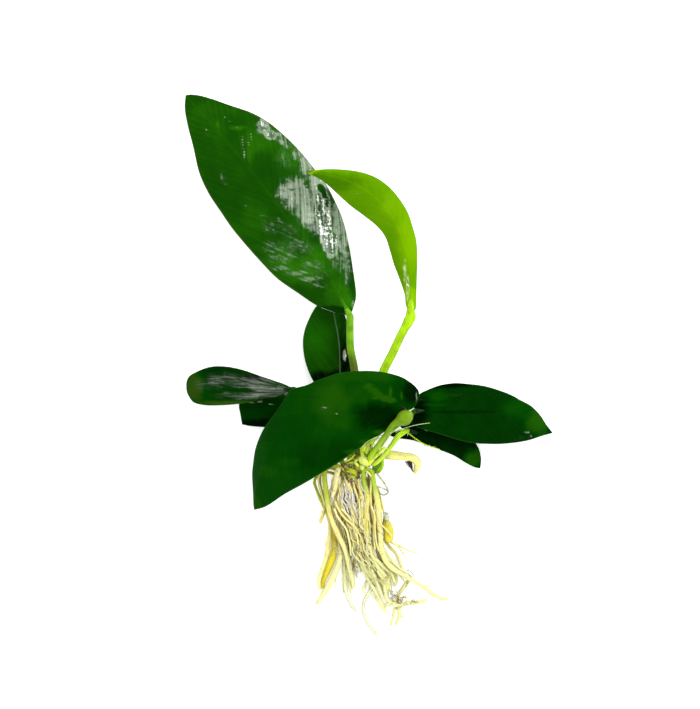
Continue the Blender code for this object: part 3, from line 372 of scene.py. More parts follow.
DEAD_STRANDS = lines_of("""11.6 10.4 .4 .3, 376.4 472.6, 380 477, 383 481, 386.5 486.6,
    388.2 491, 386 494, 382 494.4, 378 491;
    11.6 10.6 .34 .26, 376.6 485.6, 380 487, 383.6 488.2, 388 491;
    10.2 9.6 .7 1.1, 384 512.6, 386.4 516, 386.8 520.4;
    2.8 2.2 .24 .16, 406 570, 411 571.6, 413.4 575, 416 578.6;
    2.6 2.2 .16 .12, 406.4 572.6, 409.6 574, 412.4 577;
    1.6 .9 .16 .1, 367 579, 364.4 584, 363.6 589, 364.6 592, 366.5 593.7;
    6.8 5.8 .16 .12, 352 558, 349.6 563, 351 569, 356 572.6, 358.4 566, 356.6 560;
    7.4 6.6 .16 .12, 355 538, 357.6 547, 356.4 554, 352.6 559;
    10 9.6 .14 .1, 383 511, 391 515, 391.6 522, 385 523.6;
    11 10.4 .12 .1, 405.4 461.4, 408 465, 411.6 470""")

# The numbers of the main roots that the finer ones grow between.
NEIGHBOURS = [(1, 5), (8, 10), (5, 6), (9, 10), (22, 20), (6, 9), (20, 13), (10, 22),
              (12, 20), (8, 9), (24, 13), (11, 12), (6, 23), (23, 22), (5, 8), (10, 12),
              (20, 24), (4, 5), (3, 4), (9, 11)]

# Marks drawn on the blades: the middle of a patch on the sheet, its half width
# and half height, and its strength. The film marks show where a wet film lies,
# glossy and with a pale painted sheen, and above 1.2 it carries painted glints; a
# negative patch is a hole in it. TONE makes the green lighter and more olive,
# darker below 0, partly the blade's own deeper green and partly painted shade,
# brown above 1, and at a margin below -1.5 a painted highlight.
FILM_AND_SHEEN = {
    "leaf_tall": line_of("""296 194 20 18 .98, 306 212 13 16 .98, 318 182 14 14 1,
    280 128 5 3 .8, 290 138 5 4 .85, 306 166 9 12 .95, 298 153 8 10 .82, 286 142 8 8 .78,
    284 160 12 12 .5, 322 208 12 24 .92, 316 226 8 14 .75, 334 226 10 26 .95, 320 208 8 18 1.5,
    326 226 9 20 1.6, 331 244 8 14 1.55, 319 196 4 8 1.4, 343 232 6 32 .95, 347 266 5 22 .72,
    338 262 7 14 .6, 263 127 7 8 1.34, 271 135 7 5 1.33, 278 136 8 5 .72, 242.6 142 .9 8 1,
    244.4 155 1 7 1, 251 137 .9 5 .9, 248.6 144 .8 3 .9, 225 117 1.2 1.6 1, 230 121.6 3.4 .7 .8,
    236 128 3 .8 .7, 206.4 130 .9 2 1, 222 176 1.2 6 .8, 226 184 3 1 .7, 246 206 2 2 .8,
    262 216 5 1.2 .7, 224 178 4 8 .42, 274 226 14 10 .56, 290 232 12 9 .54, 296 248 22 10 .6,
    274 246 12 9 .56, 286 258 22 8 .6, 282 268 13 3.4 .74, 296 273 14 3.4 .76,
    310 278.6 13 3.4 .74, 320 285 9 4 .62, 312 266 14 8 .57, 320 274 10 8 .5, 353 305 1.6 4 1.5,
    320.4 188 2.6 3.4 -1, 323.6 194 2 5 -1, 326.4 202 1.4 6 -1, 318.6 194 1.2 2.4 -.9,
    319 208 2 5 -.7, 325 219 2 7 -.7, 297 262 4.4 3.4 -1, 305 184 2.4 1.6 -.6,
    307.4 187.4 1.2 2.6 -.6, 291 190 2.6 1.2 -.6, 286 202 1.2 4 -.6"""),
    "leaf_left": line_of("""268 391 26 7 .84, 250 383 30 8 .7, 226 381 28 9 .6, 242 395 30 5 .7,
    206 384 15 8 .5, 266 379 26 3 .7, 238 390 16 2.4 -.5, 288 394 3 2 1.5"""),
    "leaf_left_low": line_of("""252 402.6 4 .7 1.1, 262 402 5 .7 1.1, 271 404.6 4 .7 1.1"""),
    "leaf_rear": line_of("""344.4 355 1.8 7 1, 351 318 1.6 3 1.5"""),
    "leaf_front": line_of("""326 406.6 6 .7 .84, 323 408.6 4 .7 .8, 336 413 2.4 .8 .8,
    416 397 1.2 7 .8"""),
    "leaf_right": line_of("""526 431.8 4 1.2 .8, 530.6 436 1.6 2.4 .8, 519 437 6 3 .45,
    423 400 4 1 .6, 455 395 12 2 .4"""),
    "leaf_young": line_of("""405 271 2.2 14 .85, 408 288 1.6 13 1.4, 357 194 3.4 .9 .9"""),
    "leaf_right_low": line_of("""426 429.6 2 1.6 1.3"""),
}
TONE = {
    "leaf_tall": line_of("""213 116 4 6 .9, 217.6 121 1.8 6 1.62, 208 111 5 1.4 1.45,
    250 150 3 16 .6, 238 128 8 2.4 .7, 292 155 14 12 .5, 262 140 18 12 .35, 347 303 6 14 1,
    336 294 12 14 .5, 224 190 24 20 -.3, 268 186 14 22 -.3, 215 112 22 12 .3, 300 262 28 20 .8,
    352 270 5 26 -.6, 300 240 10 20 .2, 250 222 18 14 .2, 330 194 8 14 -1, 324 214 5 22 -.7,
    316 230 6 12 -.5, 330 310 18 3.6 -2"""),
    "leaf_young": line_of("""308.6 172.8 10 5 1.62, 320 176.4 12 3.4 -.9, 338 184 24 9 -.95,
    366 200 24 14 -.3, 408 302 8 14 1, 408 240 10 30 .4, 396 205 14 14 .15"""),
    "leaf_front": line_of("""334 402 18 18 .7, 344 418 14 10 .45, 362 394 14 10 .35,
    350 376 60 6 .4, 378 416 24 14 -.75, 330 456 30 16 -.35, 290 461 10 5 .25, 268 471 8 6 .25,
    405 386 14 14 -.35, 410 392 8 12 -.9, 368 386 5 2.6 .9, 373 390 5 2.6 1, 378 394 5 3 1.04,
    384 397.4 5 3 1.04, 390 400 5 2.6 1.04, 390 392 1.6 5 .95, 375 397.6 4 1.6 .9,
    401 395 1.4 4 .7, 256 504 5 8 .5, 382 431.6 9 2.4 1, 369 441 9 2.4 .9, 352 451 9 2.4 .6,
    395 424 5 2.4 .9"""),
    "leaf_right": line_of("""480 412 200 90 -.42, 538 420 12 14 .8, 444 385 26 3 -1,
    418 412 10 14 -1, 438 396 10 5 .1, 520 408 16 10 0, 462 411.6 34 1.6 -.7,
    436 405 12 1.2 0"""),
    "leaf_right_low": line_of("""440 440 90 60 -.8, 474 458 9 9 .6, 402 433 12 9 -1"""),
    "leaf_left": line_of("""240 385 90 60 -.3, 194 386 9 14 .7, 225 371 18 4 -.5,
    235 403 34 2.6 .9, 262 378 26 2.4 -1"""),
    "leaf_left_low": line_of("""270 410 90 60 -.36, 260 424 20 5 -1"""),
    "leaf_rear": line_of("""346 350 6 40 -1, 318 326 14 30 .3, 334 380 30 9 -1,
    345 322 5 18 -.6"""),
}

# How each kind of blade differs: see lamina_finish. water is the tint of the painted sheen.
BLADE_LOOKS = {
    "leaf_dark_green": {"lighter": "#1c5003", "shade": "#010f01", "vein": "#083c03",
        "rim": "#2d5a14", "under": "#1f4f14", "vein_strength": 0.06},
    "leaf_mid_green": {"lighter": "#2a6c06", "shade": "#063503", "vein": "#1f660c",
        "rim": "#5e5a34", "under": "#3d7030", "vein_strength": 0.1, "midrib": "#58a012",
        "midrib_strength": 0.03, "base_strength": 0.9, "soft": 0.24, "ragged": 0.8,
        "combed": 0.75, "mottled": 1.5},
    "leaf_rear": {"lighter": "#1c6a04", "shade": "#010e02", "vein": "#2a7a10", "rim": "#3d6a20",
        "under": "#1f4f14", "vein_strength": 0.1, "midrib": "#b4c8a8", "midrib_strength": 0.22,
        "midrib_width": 0.3, "mottled": 1.4},
    "leaf_young_green": {"lighter": "#88bc00", "shade": "#407600", "vein": "#88bc10",
        "rim": "#6d7f14", "under": "#8cb83c", "vein_strength": 0.08, "midrib": "#8cc010",
        "midrib_strength": 0.08, "base_strength": 0.5, "soft": 0.3, "mottled": 0.6,
        "water": "#f0f8a8"},
    "leaf_left": {"lighter": "#2e4a0c", "shade": "#010c02", "vein": "#0a4004", "rim": "#4d5a20",
        "under": "#1f4f14", "vein_strength": 0.05, "streaks_along": True, "soft": 0.42,
        "ragged": 0.2, "combed": 1.0, "water": "#c4c0bc"},
}
BLADE_SLOTS = {"leaf_tall": "leaf_mid_green", "leaf_young": "leaf_young_green"}
# The midribs' radii at the base in mm, where they aren't 0.85.
RIB_RADII = {"leaf_tall": 1.15, "leaf_young": 1.2, "leaf_front": 1.1}
# The deep and the fresh green of the midribs under the blades.
MIDRIB_TINTS = {"leaf_dark_green": ("#041f02", "#0a3604"),
                "leaf_mid_green": ("#2c7a08", "#4c8c12"),
                "leaf_young_green": ("#78a408", "#8cbc10")}

# A lateral vein runs this far forward for each mm from the midrib, bends this
# much more with the distance, and strays by this many mm.
VEIN_LEAN = 1.35
VEIN_BEND = 0.012
VEIN_DRIFT = 1.3

SCATTER_SEED = 4


# ------------------------------------------------------------ colours, nodes
def linear(hex_colour):
    """An sRGB hex colour as linear RGB."""
    channels = [int(hex_colour[start:start + 2], 16) / 255 for start in (1, 3, 5)]
    return tuple(c / 12.92 if c <= 0.04045 else ((c + 0.055) / 1.055) ** 2.4
                 for c in channels)


def feed(tree, node, inputs):
    """Set a node's sockets, each to a value or to the output that feeds it."""
    for socket, value in inputs.items():
        if isinstance(value, bpy.types.NodeSocket):
            tree.links.new(value, node.inputs[socket])
        else:
            node.inputs[socket].default_value = value


def add_node(tree, kind, inputs=(), out=0, **settings):
    """Add a node with its settings and links, and return one of its outputs.

    A kind without "Node" in it is a shader node, and the node's operation may
    follow it. The inputs are in the sockets' order or have their names. With
    out set to None the node itself comes back.
    """
    kind, *operation = kind.split()
    node = tree.nodes.new(kind if "Node" in kind else f"ShaderNode{kind}")
    if operation:
        node.operation = operation[0]
    for setting, value in settings.items():
        setattr(node, setting, value)
    feed(tree, node, inputs if isinstance(inputs, dict) else dict(enumerate(inputs)))
    return node if out is None else node.outputs[out]


# ------------------------------------------------------------------ settings
def length_setting(name, description, default):
    """A length property in metres."""
    return bpy.props.FloatProperty(name=name, description=description, default=default,
                                   min=0.0, precision=5, unit="LENGTH")


def colour_setting(name, description, hex_colour):
    """A colour property with an sRGB default."""
    return bpy.props.FloatVectorProperty(
        name=name, description=description, default=linear(hex_colour),
        subtype="COLOR", min=0.0, max=1.0)


def amount_setting(name, description, default):
    """A plain number that isn't negative."""
    return bpy.props.FloatProperty(name=name, description=description, default=default,
                                   min=0.0)


def count_setting(name, description, default, least, most):
    """A whole number."""
    return bpy.props.IntProperty(name=name, description=description, default=default,
                                 min=least, max=most)


class AnubiasLeafSettings(bpy.types.PropertyGroup):
    """Sizes and colours of the leaf blades."""
    mesh_step: length_setting("Mesh step", "Width of one face of a blade", 0.0006)
    thickness: length_setting("Thickness", "Thickness at the middle of a blade", 0.0005)
    vein_spacing: length_setting("Vein spacing", "Distance between lateral veins", 0.0042)
    vein_depth: length_setting("Vein depth", "How deep the lateral veins are sunk", 0.00005)
    midrib_depth: length_setting("Midrib depth", "How deep the midrib is sunk", 0.00018)
    wave_height: length_setting("Wave height", "How far the margins wave", 0.0004)
    dark_green: colour_setting("Old leaf", "Upper side of an old leaf", "#033c01")
    mid_green: colour_setting("Tall leaf", "Upper side of the tall leaf", "#154b03")
    young_green: colour_setting("Young leaf", "Upper side of the young leaf", "#5e9601")


class AnubiasStalkSettings(bpy.types.PropertyGroup):
    """Sizes and colours of the stalks and the rhizome."""
    sides: count_setting("Sides", "Faces around a stalk", 20, 6, 64)
    mesh_step: length_setting("Mesh step", "Length of one face along a stalk", 0.0006)
    unevenness: length_setting("Unevenness", "Height of the swellings on a stalk", 0.00007)
    light_green: colour_setting("Stalk", "A living leaf stalk", "#86c009")
    rhizome_green: colour_setting("Rhizome", "The rhizome's skin", "#b4c420")
    knob_height: length_setting("Knob height", "Height of the rhizome's knobs", 0.0006)


class AnubiasRootSettings(bpy.types.PropertyGroup):
    """Sizes and colours of the roots."""
    sides: count_setting("Sides", "Faces around a root", 12, 5, 48)
    mesh_step: length_setting("Mesh step", "Length of one face along a root", 0.0006)
    unevenness: length_setting("Unevenness", "Height of the swellings on a root", 0.00014)
    cream: colour_setting("Cream root", "A living root", "#f6e880")
    ochre: colour_setting("Ochre root", "A thick old root", "#d4c024")
    filler_count: count_setting("Filling roots", "Fine roots between the main ones", 80, 0, 300)
    hair_density: amount_setting("Hair density", "Root hairs to the square millimetre", 1.1)
    hair_length: length_setting("Hair length", "Length of a root hair", 0.0007)


class AnubiasStageSettings(bpy.types.PropertyGroup):
    """The camera, the floor and the lights."""
    picture_height: length_setting("Picture height", "What the camera takes in", 0.23633)
    lens: amount_setting("Lens", "Focal length in millimetres", 700.0)
    floor_colour: colour_setting("Floor", "The plain pale floor", "#f7f7f7")
    softbox_brightness: amount_setting(
        "Softbox", "Brightness of the softbox that shines on the wet leaves", 10.0)
    fill_brightness: amount_setting("Fill", "Brightness of the soft lights all round", 0.9)


# ------------------------------------------------------------------ geometry
def on_plan(point):
    """A drawn point (sheet x, sheet y, height[, radius]) in millimetres."""
    x = (point[0] - SHEET_CENTRE[0]) / SHEET_UNITS_PER_MM
    y = (SHEET_CENTRE[1] - point[1]) / SHEET_UNITS_PER_MM
    return np.array([x, y, *point[2:]], dtype=float)


def laid(points):
    """Drawn points in millimetres."""
    return np.array([on_plan(point) for point in points])


def distances(points):
    """How far along a line each of its points lies."""
    steps = np.linalg.norm(np.diff(points[:, :3], axis=0), axis=1)
    return np.concatenate([[0.0], np.cumsum(steps)])


def line_length(points):
    """The length of a line of points."""
    return float(np.linalg.norm(np.diff(points[:, :3], axis=0), axis=1).sum())


def curve_at(knots, shares, cuts=10):
    """A Catmull-Rom curve through the knots, read at shares of its length."""
    knots = np.vstack([2 * knots[0] - knots[1], knots, 2 * knots[-1] - knots[-2]])
    dense = []
    for a, b, c, d in zip(knots, knots[1:], knots[2:], knots[3:]):
        for t in np.arange(cuts) / cuts:
            dense.append(0.5 * (2 * b + (c - a) * t
                                + (2 * a - 5 * b + 4 * c - d) * t * t
                                + (3 * b - a - 3 * c + d) * t ** 3))
    dense = np.array([*dense, knots[-2]])
    along = distances(dense)
    return np.column_stack([np.interp(shares * along[-1], along, column)
                            for column in dense.T])


def strand_points(drawn, step):
    """The points of a strand along a drawn line, about one step apart."""
    knots = laid(drawn)
    pieces = max(4, round(line_length(knots) / step))
    return curve_at(knots, np.linspace(0, 1, pieces + 1))


def samples_of(points):
    """Points every 0.5 mm along a strand: after which point, and how far."""
    rows = []
    for index in range(len(points) - 1):
        length = np.linalg.norm(points[index + 1][:3] - points[index][:3])
        count = max(1, math.ceil(length / 0.5))
        rows += [(index, step / count) for step in range(count)]
    return [*rows, (len(points) - 2, 1.0)]


def spread_roots(roots, still):
    """Raise and lower the roots where they'd run through one another.

    The plan of every root stays as drawn; only heights change. The lower of
    two crossing roots goes down and the upper one up, and neither goes
    through the surface. The pieces in still don't move.
    """
    strands = [*roots, *still]
    starts = np.cumsum([0] + [len(strand) for strand in strands])
    rows = [(starts[owner] + index, part, owner) for owner, strand in enumerate(strands)
            for index, part in samples_of(strand)]
    first, part, owner = (np.array(column) for column in zip(*rows))
    points = np.vstack(strands)
    free = (owner < len(roots)).astype(float)

    def sampled(column):
        return column[first] * (1 - part) + column[first + 1] * part

    x, y, z, r = (sampled(column) for column in points.T)
    apart = r[:, None] + r[None, :] + ROOT_GAP
    flat = np.hypot(x[:, None] - x[None, :], y[:, None] - y[None, :])
    near = (flat < apart) & (owner[:, None] < owner[None, :])
    near &= (free[:, None] + free[None, :]) > 0
    a, b = np.nonzero(near)
    need = np.sqrt(apart[a, b] ** 2 - flat[a, b] ** 2)
    # The order of two roots is settled once, over the whole of their crossing.
    lift = np.zeros((len(strands), len(strands)))
    np.add.at(lift, (owner[a], owner[b]), z[a] - z[b])
    above = np.where(lift[owner[a], owner[b]] >= 0, 1.0, -1.0)
    share = free[a] + free[b]
    height = points[:, 2].copy()
    movable = np.arange(len(points)) < starts[len(roots)]
    smoothed = movable.copy()
    smoothed[starts[:-1]] = False
    smoothed[starts[1:] - 1] = False
    for turn in range(600):
        z = sampled(height)
        short = np.maximum(0.0, need - above * (z[a] - z[b]))
        push = np.zeros(len(height))
        count = np.zeros(len(height))
        for which, sign in ((a, 1.0), (b, -1.0)):
            move = sign * above * short * free[which] / share
            for end, weight in ((first[which], 1 - part[which]),
                                (first[which] + 1, part[which])):
                np.add.at(push, end, move * weight)
                np.add.at(count, end, weight * (short > 0))
        height += np.where(movable, 0.6 * push / np.maximum(count, 1.0), 0.0)
        if turn < 450:
            calm = np.zeros(len(height))
            calm[1:-1] = 0.5 * (height[:-2] + height[2:]) - height[1:-1]
            height += np.where(smoothed, 0.12 * calm, 0.0)
        height = np.where(movable, np.maximum(height, points[:, 3] * 1.02), height)
    for index, strand in enumerate(roots):
        strand[:, 2] = height[starts[index]:starts[index + 1]]


@cache
def settled_strands():
    """Every stalk, root and round piece as it lies, in mm."""
    stalks = {stalk: strand_points(drawn, SHAPED_STALKS.get(stalk, STALK_STEP))
              for stalk, drawn in STALKS.items()}
    roots = {root: strand_points(drawn, ROOT_STEP) for root, drawn in ROOTS.items()}
    others = {"rhizome": strand_points(RHIZOME, 1.4),
              "rhizome_bud": strand_points(RHIZOME_BUD, 1.2),
              "hooked_root": strand_points(HOOKED_ROOT, 1.8)}
    spread_roots(list(roots.values()), [*others.values(), *stalks.values()])
    return {**stalks, **roots, **others}


def fine_strand(points, step):
    """A smooth strand through points in mm, in short steps, with round ends."""
    pieces = max(8, round(line_length(points) / step))
    shares = np.linspace(0, 1, pieces + 1)
    # Shorter steps near the ends, where the radius closes.
    shares = 0.65 * shares + 0.35 * (0.5 - 0.5 * np.cos(math.pi * shares))
    strand = curve_at(points, shares, cuts=16)
    along = distances(strand)
    for distance, radius in ((along, strand[0, 3]), (along[-1] - along, strand[-1, 3])):
        share = np.clip(distance / max(1.1 * radius, 0.05), 0, 1)
        strand[:, 3] = strand[:, 3] * np.maximum(np.sqrt(1 - (1 - share) ** 2), 0.15)
    return strand


def fine_strands(drawings, step):
    """Smooth strands along drawn lines."""
    return [fine_strand(laid(drawing), step) for drawing in drawings]


def wander(values, seed):
    """Smooth, repeatable wandering between about -1 and 1."""
    total = np.zeros_like(values, dtype=float)
    for turn in range(1, 5):
        phase = (seed * 2.399 + turn * 1.713 + seed * turn * 0.577) % (2 * math.pi)
        total += np.sin(values * turn * 1.31 + phase) / turn
    return total / 1.7


def smooth_step(value, low, high):
    """0 below low, 1 above high, smooth between them."""
    share = np.clip((value - low) / (high - low), 0, 1)
    return share * share * (3 - 2 * share)


# ------------------------------------------------------- Geometry Nodes trees
def tree_with(name, **sockets):
    """An empty Geometry Nodes tree with geometry in and out and named inputs."""
    tree = bpy.data.node_groups.new(name, "GeometryNodeTree")
    for in_out in ("INPUT", "OUTPUT"):
        tree.interface.new_socket("Geometry", in_out=in_out, socket_type="NodeSocketGeometry")
    for socket, kind in sockets.items():
        tree.interface.new_socket(socket, in_out="INPUT", socket_type=f"NodeSocket{kind}")
    add = partial(add_node, tree)
    return tree, add, add("NodeGroupInput", out=None).outputs


def finish_tree(tree, add, geometry, skin):
    """Lay flat what reaches through the surface, and give the result its material."""
    spot = add("GeometryNodeInputPosition")
    spot = add("VectorMath MAXIMUM", (spot, (-9.0, -9.0, LOWEST)))
    geometry = add("GeometryNodeSetPosition", {"Geometry": geometry, "Position": spot})
    geometry = add("GeometryNodeRealizeInstances", {"Geometry": geometry})
    geometry = add("GeometryNodeSetMaterial", {"Geometry": geometry, "Material": skin})
    add("NodeGroupOutput", {"Geometry": geometry}, out=None)
    return tree


def strand_skin_tree():
    """A skin round every strand of a curve: uneven, closed, and measured.

    The attribute "strand" holds the radius in mm, a number from 0 to 1 for the
    whole strand and the distance along it in mm; "rim" is the place on the
    round section.
    """
    found = bpy.data.node_groups.get("strand skin")
    if found:
        return found
    tree, add, given = tree_with("strand skin", Sides="Int", Unevenness="Float",
                                 Swelling="Float", Seed="Int", Skin="Material")
    radius = add("GeometryNodeInputRadius")
    radius_mm = add("Math MULTIPLY", (radius, 1000.0))
    travelled = add("GeometryNodeSplineParameter", out="Length")
    travelled = add("Math MULTIPLY", (travelled, 1000.0))
    which = add("GeometryNodeCurveOfPoint", out="Curve Index")
    tint = add("FunctionNodeRandomValue", {2: 0.0, 3: 1.0, "ID": which, "Seed": given["Seed"]},
               out=1, data_type="FLOAT")
    facts = add("CombineXYZ", (radius_mm, tint, travelled))
    section = add("GeometryNodeCurvePrimitiveCircle",
                  {"Resolution": given["Sides"], "Radius": 1.0}, mode="RADIUS")
    lines, section = (
        add("GeometryNodeStoreNamedAttribute", {"Geometry": on, "Name": title, "Value": value},
            data_type="FLOAT_VECTOR", domain="POINT")
        for on, title, value in ((given["Geometry"], "strand", facts),
                                 (section, "rim", add("GeometryNodeInputPosition"))))
    skin = add("GeometryNodeCurveToMesh", {"Curve": lines, "Profile Curve": section,
                                           "Scale": radius, "Fill Caps": True})
    fineness = add("Math DIVIDE", (1.0, given["Swelling"]))
    spot = add("GeometryNodeInputPosition")
    swelling = add("TexNoise", {"Vector": spot, "Scale": fineness, "Detail": 1.0,
                                "W": given["Seed"]}, noise_dimensions="4D")
    centred = add("Math SUBTRACT", (swelling, 0.5))
    # Thin ends move less than the thick middle of a strand.
    girth = add("GeometryNodeInputNamedAttribute", {"Name": "strand"},
                data_type="FLOAT_VECTOR")
    girth = add("SeparateXYZ", (girth,))
    heft = add("MapRange", (girth, 0.05, 0.6, 0.0, 2.0))
    move = add("Math MULTIPLY", (centred, heft))
    move = add("Math MULTIPLY", (move, given["Unevenness"]))
    normal = add("GeometryNodeInputNormal")
    offset = add("VectorMath SCALE", {0: normal, "Scale": move})
    skin = add("GeometryNodeSetPosition", {"Geometry": skin, "Offset": offset})
    skin = add("GeometryNodeSetShadeSmooth", {"Geometry": skin})
    return finish_tree(tree, add, skin, given["Skin"])


def scatter_tree():
    """Small hairs and fibres that stand over a surface and lean at random."""
    found = bpy.data.node_groups.get("scattered bits")
    if found:
        return found
    tree, add, given = tree_with("scattered bits", Density="Float", Length="Float",
                                 Width="Float", Lean="Float", Sides="Int", Skin="Material")
    spread = add("GeometryNodeDistributePointsOnFaces",
                 {"Mesh": given["Geometry"], "Density": given["Density"],
                  "Seed": SCATTER_SEED}, out=None, distribute_method="RANDOM").outputs
    bit = add("GeometryNodeMeshCone",
              {"Vertices": given["Sides"], "Side Segments": 2, "Radius Top": 0.0,
               "Radius Bottom": given["Width"], "Depth": given["Length"]})
    leaned, size = (
        add("FunctionNodeRandomValue", {0: least, 1: most, "Seed": SCATTER_SEED},
            data_type="FLOAT_VECTOR")
        for least, most in (((-1.0, -1.0, -3.1), (1.0, 1.0, 3.1)),
                            ((0.5, 0.5, 0.4), (1.2, 1.3, 1.5))))
    leaned = add("VectorMath SCALE", {0: leaned, "Scale": given["Lean"]})
    turn = add("FunctionNodeRotateRotation", (spread["Rotation"], leaned),
               rotation_space="LOCAL")
    bits = add("GeometryNodeInstanceOnPoints",
               {"Points": spread["Points"], "Instance": bit, "Rotation": turn,
                "Scale": size})
    # They are made real before they are laid flat, point by point.
    bits = add("GeometryNodeRealizeInstances", {"Geometry": bits})
    return finish_tree(tree, add, bits, given["Skin"])


# ------------------------------------------------------------- making pieces
def grown_mesh(source, tree, **values):
    """Run a tree on an object and keep the result as a plain mesh."""
    bpy.context.scene.collection.objects.link(source)
    modifier = source.modifiers.new(tree.name, "NODES")
    modifier.node_group = tree
    for item in tree.interface.items_tree:
        if item.in_out == "INPUT" and item.name in values:
            modifier[item.identifier] = values[item.name]
    evaluated = source.evaluated_get(bpy.context.evaluated_depsgraph_get())
    mesh = bpy.data.meshes.new_from_object(evaluated)
    source.modifiers.remove(modifier)
    bpy.data.objects.remove(source)
    if not mesh.polygons:
        raise RuntimeError(f"{tree.name} made nothing")
    return mesh


def put_on_plant(name, mesh, material, nodes=()):
    """Make the finished piece an object of the plant."""
    mesh.name = name
    mesh.materials.clear()
    mesh.materials.append(material)
    mesh.polygons.foreach_set("material_index", [0] * len(mesh.polygons))
    mesh.polygons.foreach_set("use_smooth", [True] * len(mesh.polygons))
    mesh.update()
    piece = bpy.data.objects.new(name, mesh)
    bpy.context.scene.collection.objects.link(piece)
    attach(piece, "root")
    if nodes:
        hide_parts(*nodes)


def grow(name, strands, skin, nodes=(), *, sides, unevenness, swelling, seed):
    """Grow a piece round its strands, each of them rows of (x, y, z, radius) in mm."""
    curve = bpy.data.curves.new(name, "CURVE")
    curve.dimensions = "3D"
    for strand in strands:
        spline = curve.splines.new("POLY")
        spline.points.add(len(strand) - 1)
        for knot, point in zip(spline.points, strand):
            knot.co = (*(point[:3] * MM), 1.0)
            knot.radius = point[3] * MM
    mesh = grown_mesh(bpy.data.objects.new(name, curve), strand_skin_tree(), Sides=sides,
                      Unevenness=unevenness, Swelling=swelling, Seed=seed, Skin=skin)
    put_on_plant(name, mesh, skin, nodes)


def mesh_from(shape, name):
    """The mesh of a shape in bmesh, which is freed."""
    mesh = bpy.data.meshes.new(name)
    shape.to_mesh(mesh)
    shape.free()
    return mesh


# ----------------------------------------------------------------- materials
def new_finish(name):
    """A new material, what adds its nodes, its Object coordinates, its shader's feed."""
    material = bpy.data.materials.new(name)
    material.use_nodes = True
    tree = material.node_tree
    add = partial(add_node, tree)
    shader = tree.nodes["Principled BSDF"]
    return material, add, add("TexCoord", out="Object"), partial(feed, tree, shader)


def tinted(add, base, tints):
    """A base colour under tints, each laid over it by its share."""
    colour = add("RGB")
    colour.default_value = (*base, 1)
    for share, tint in tints:
        colour = add("Mix", {0: share, 6: colour, 7: (*linear(tint), 1)}, out=2,
                     data_type="RGBA")
    return colour


def painted_side_shade(add, amount, turned=0.72):
    """A share that grows where a round strand turns to the side.

    It paints shade on the sides of roots and stalks, so they're darker
    than the top.
    """
    facing = add("SeparateXYZ", (add("TexCoord", out="Normal"),), out="Z")
    return add("MapRange", (facing, turned, turned - 0.62, 0.0, amount),
               interpolation_type="SMOOTHSTEP")


def fibrous(add, across, along, **noise):
    """A strand's attribute, and a noise drawn out along it, so finely each way."""
    strand, rim = (add("Attribute", out="Vector", attribute_name=title)
                   for title in ("strand", "rim"))
    spot = add("VectorMath MULTIPLY", (strand, (0.0, 9.0, along)))
    spot = add("VectorMath MULTIPLY_ADD", (rim, (across, across, 0.0), spot))
    return strand, add("TexNoise", {"Vector": spot, "Scale": 1.0, **noise})


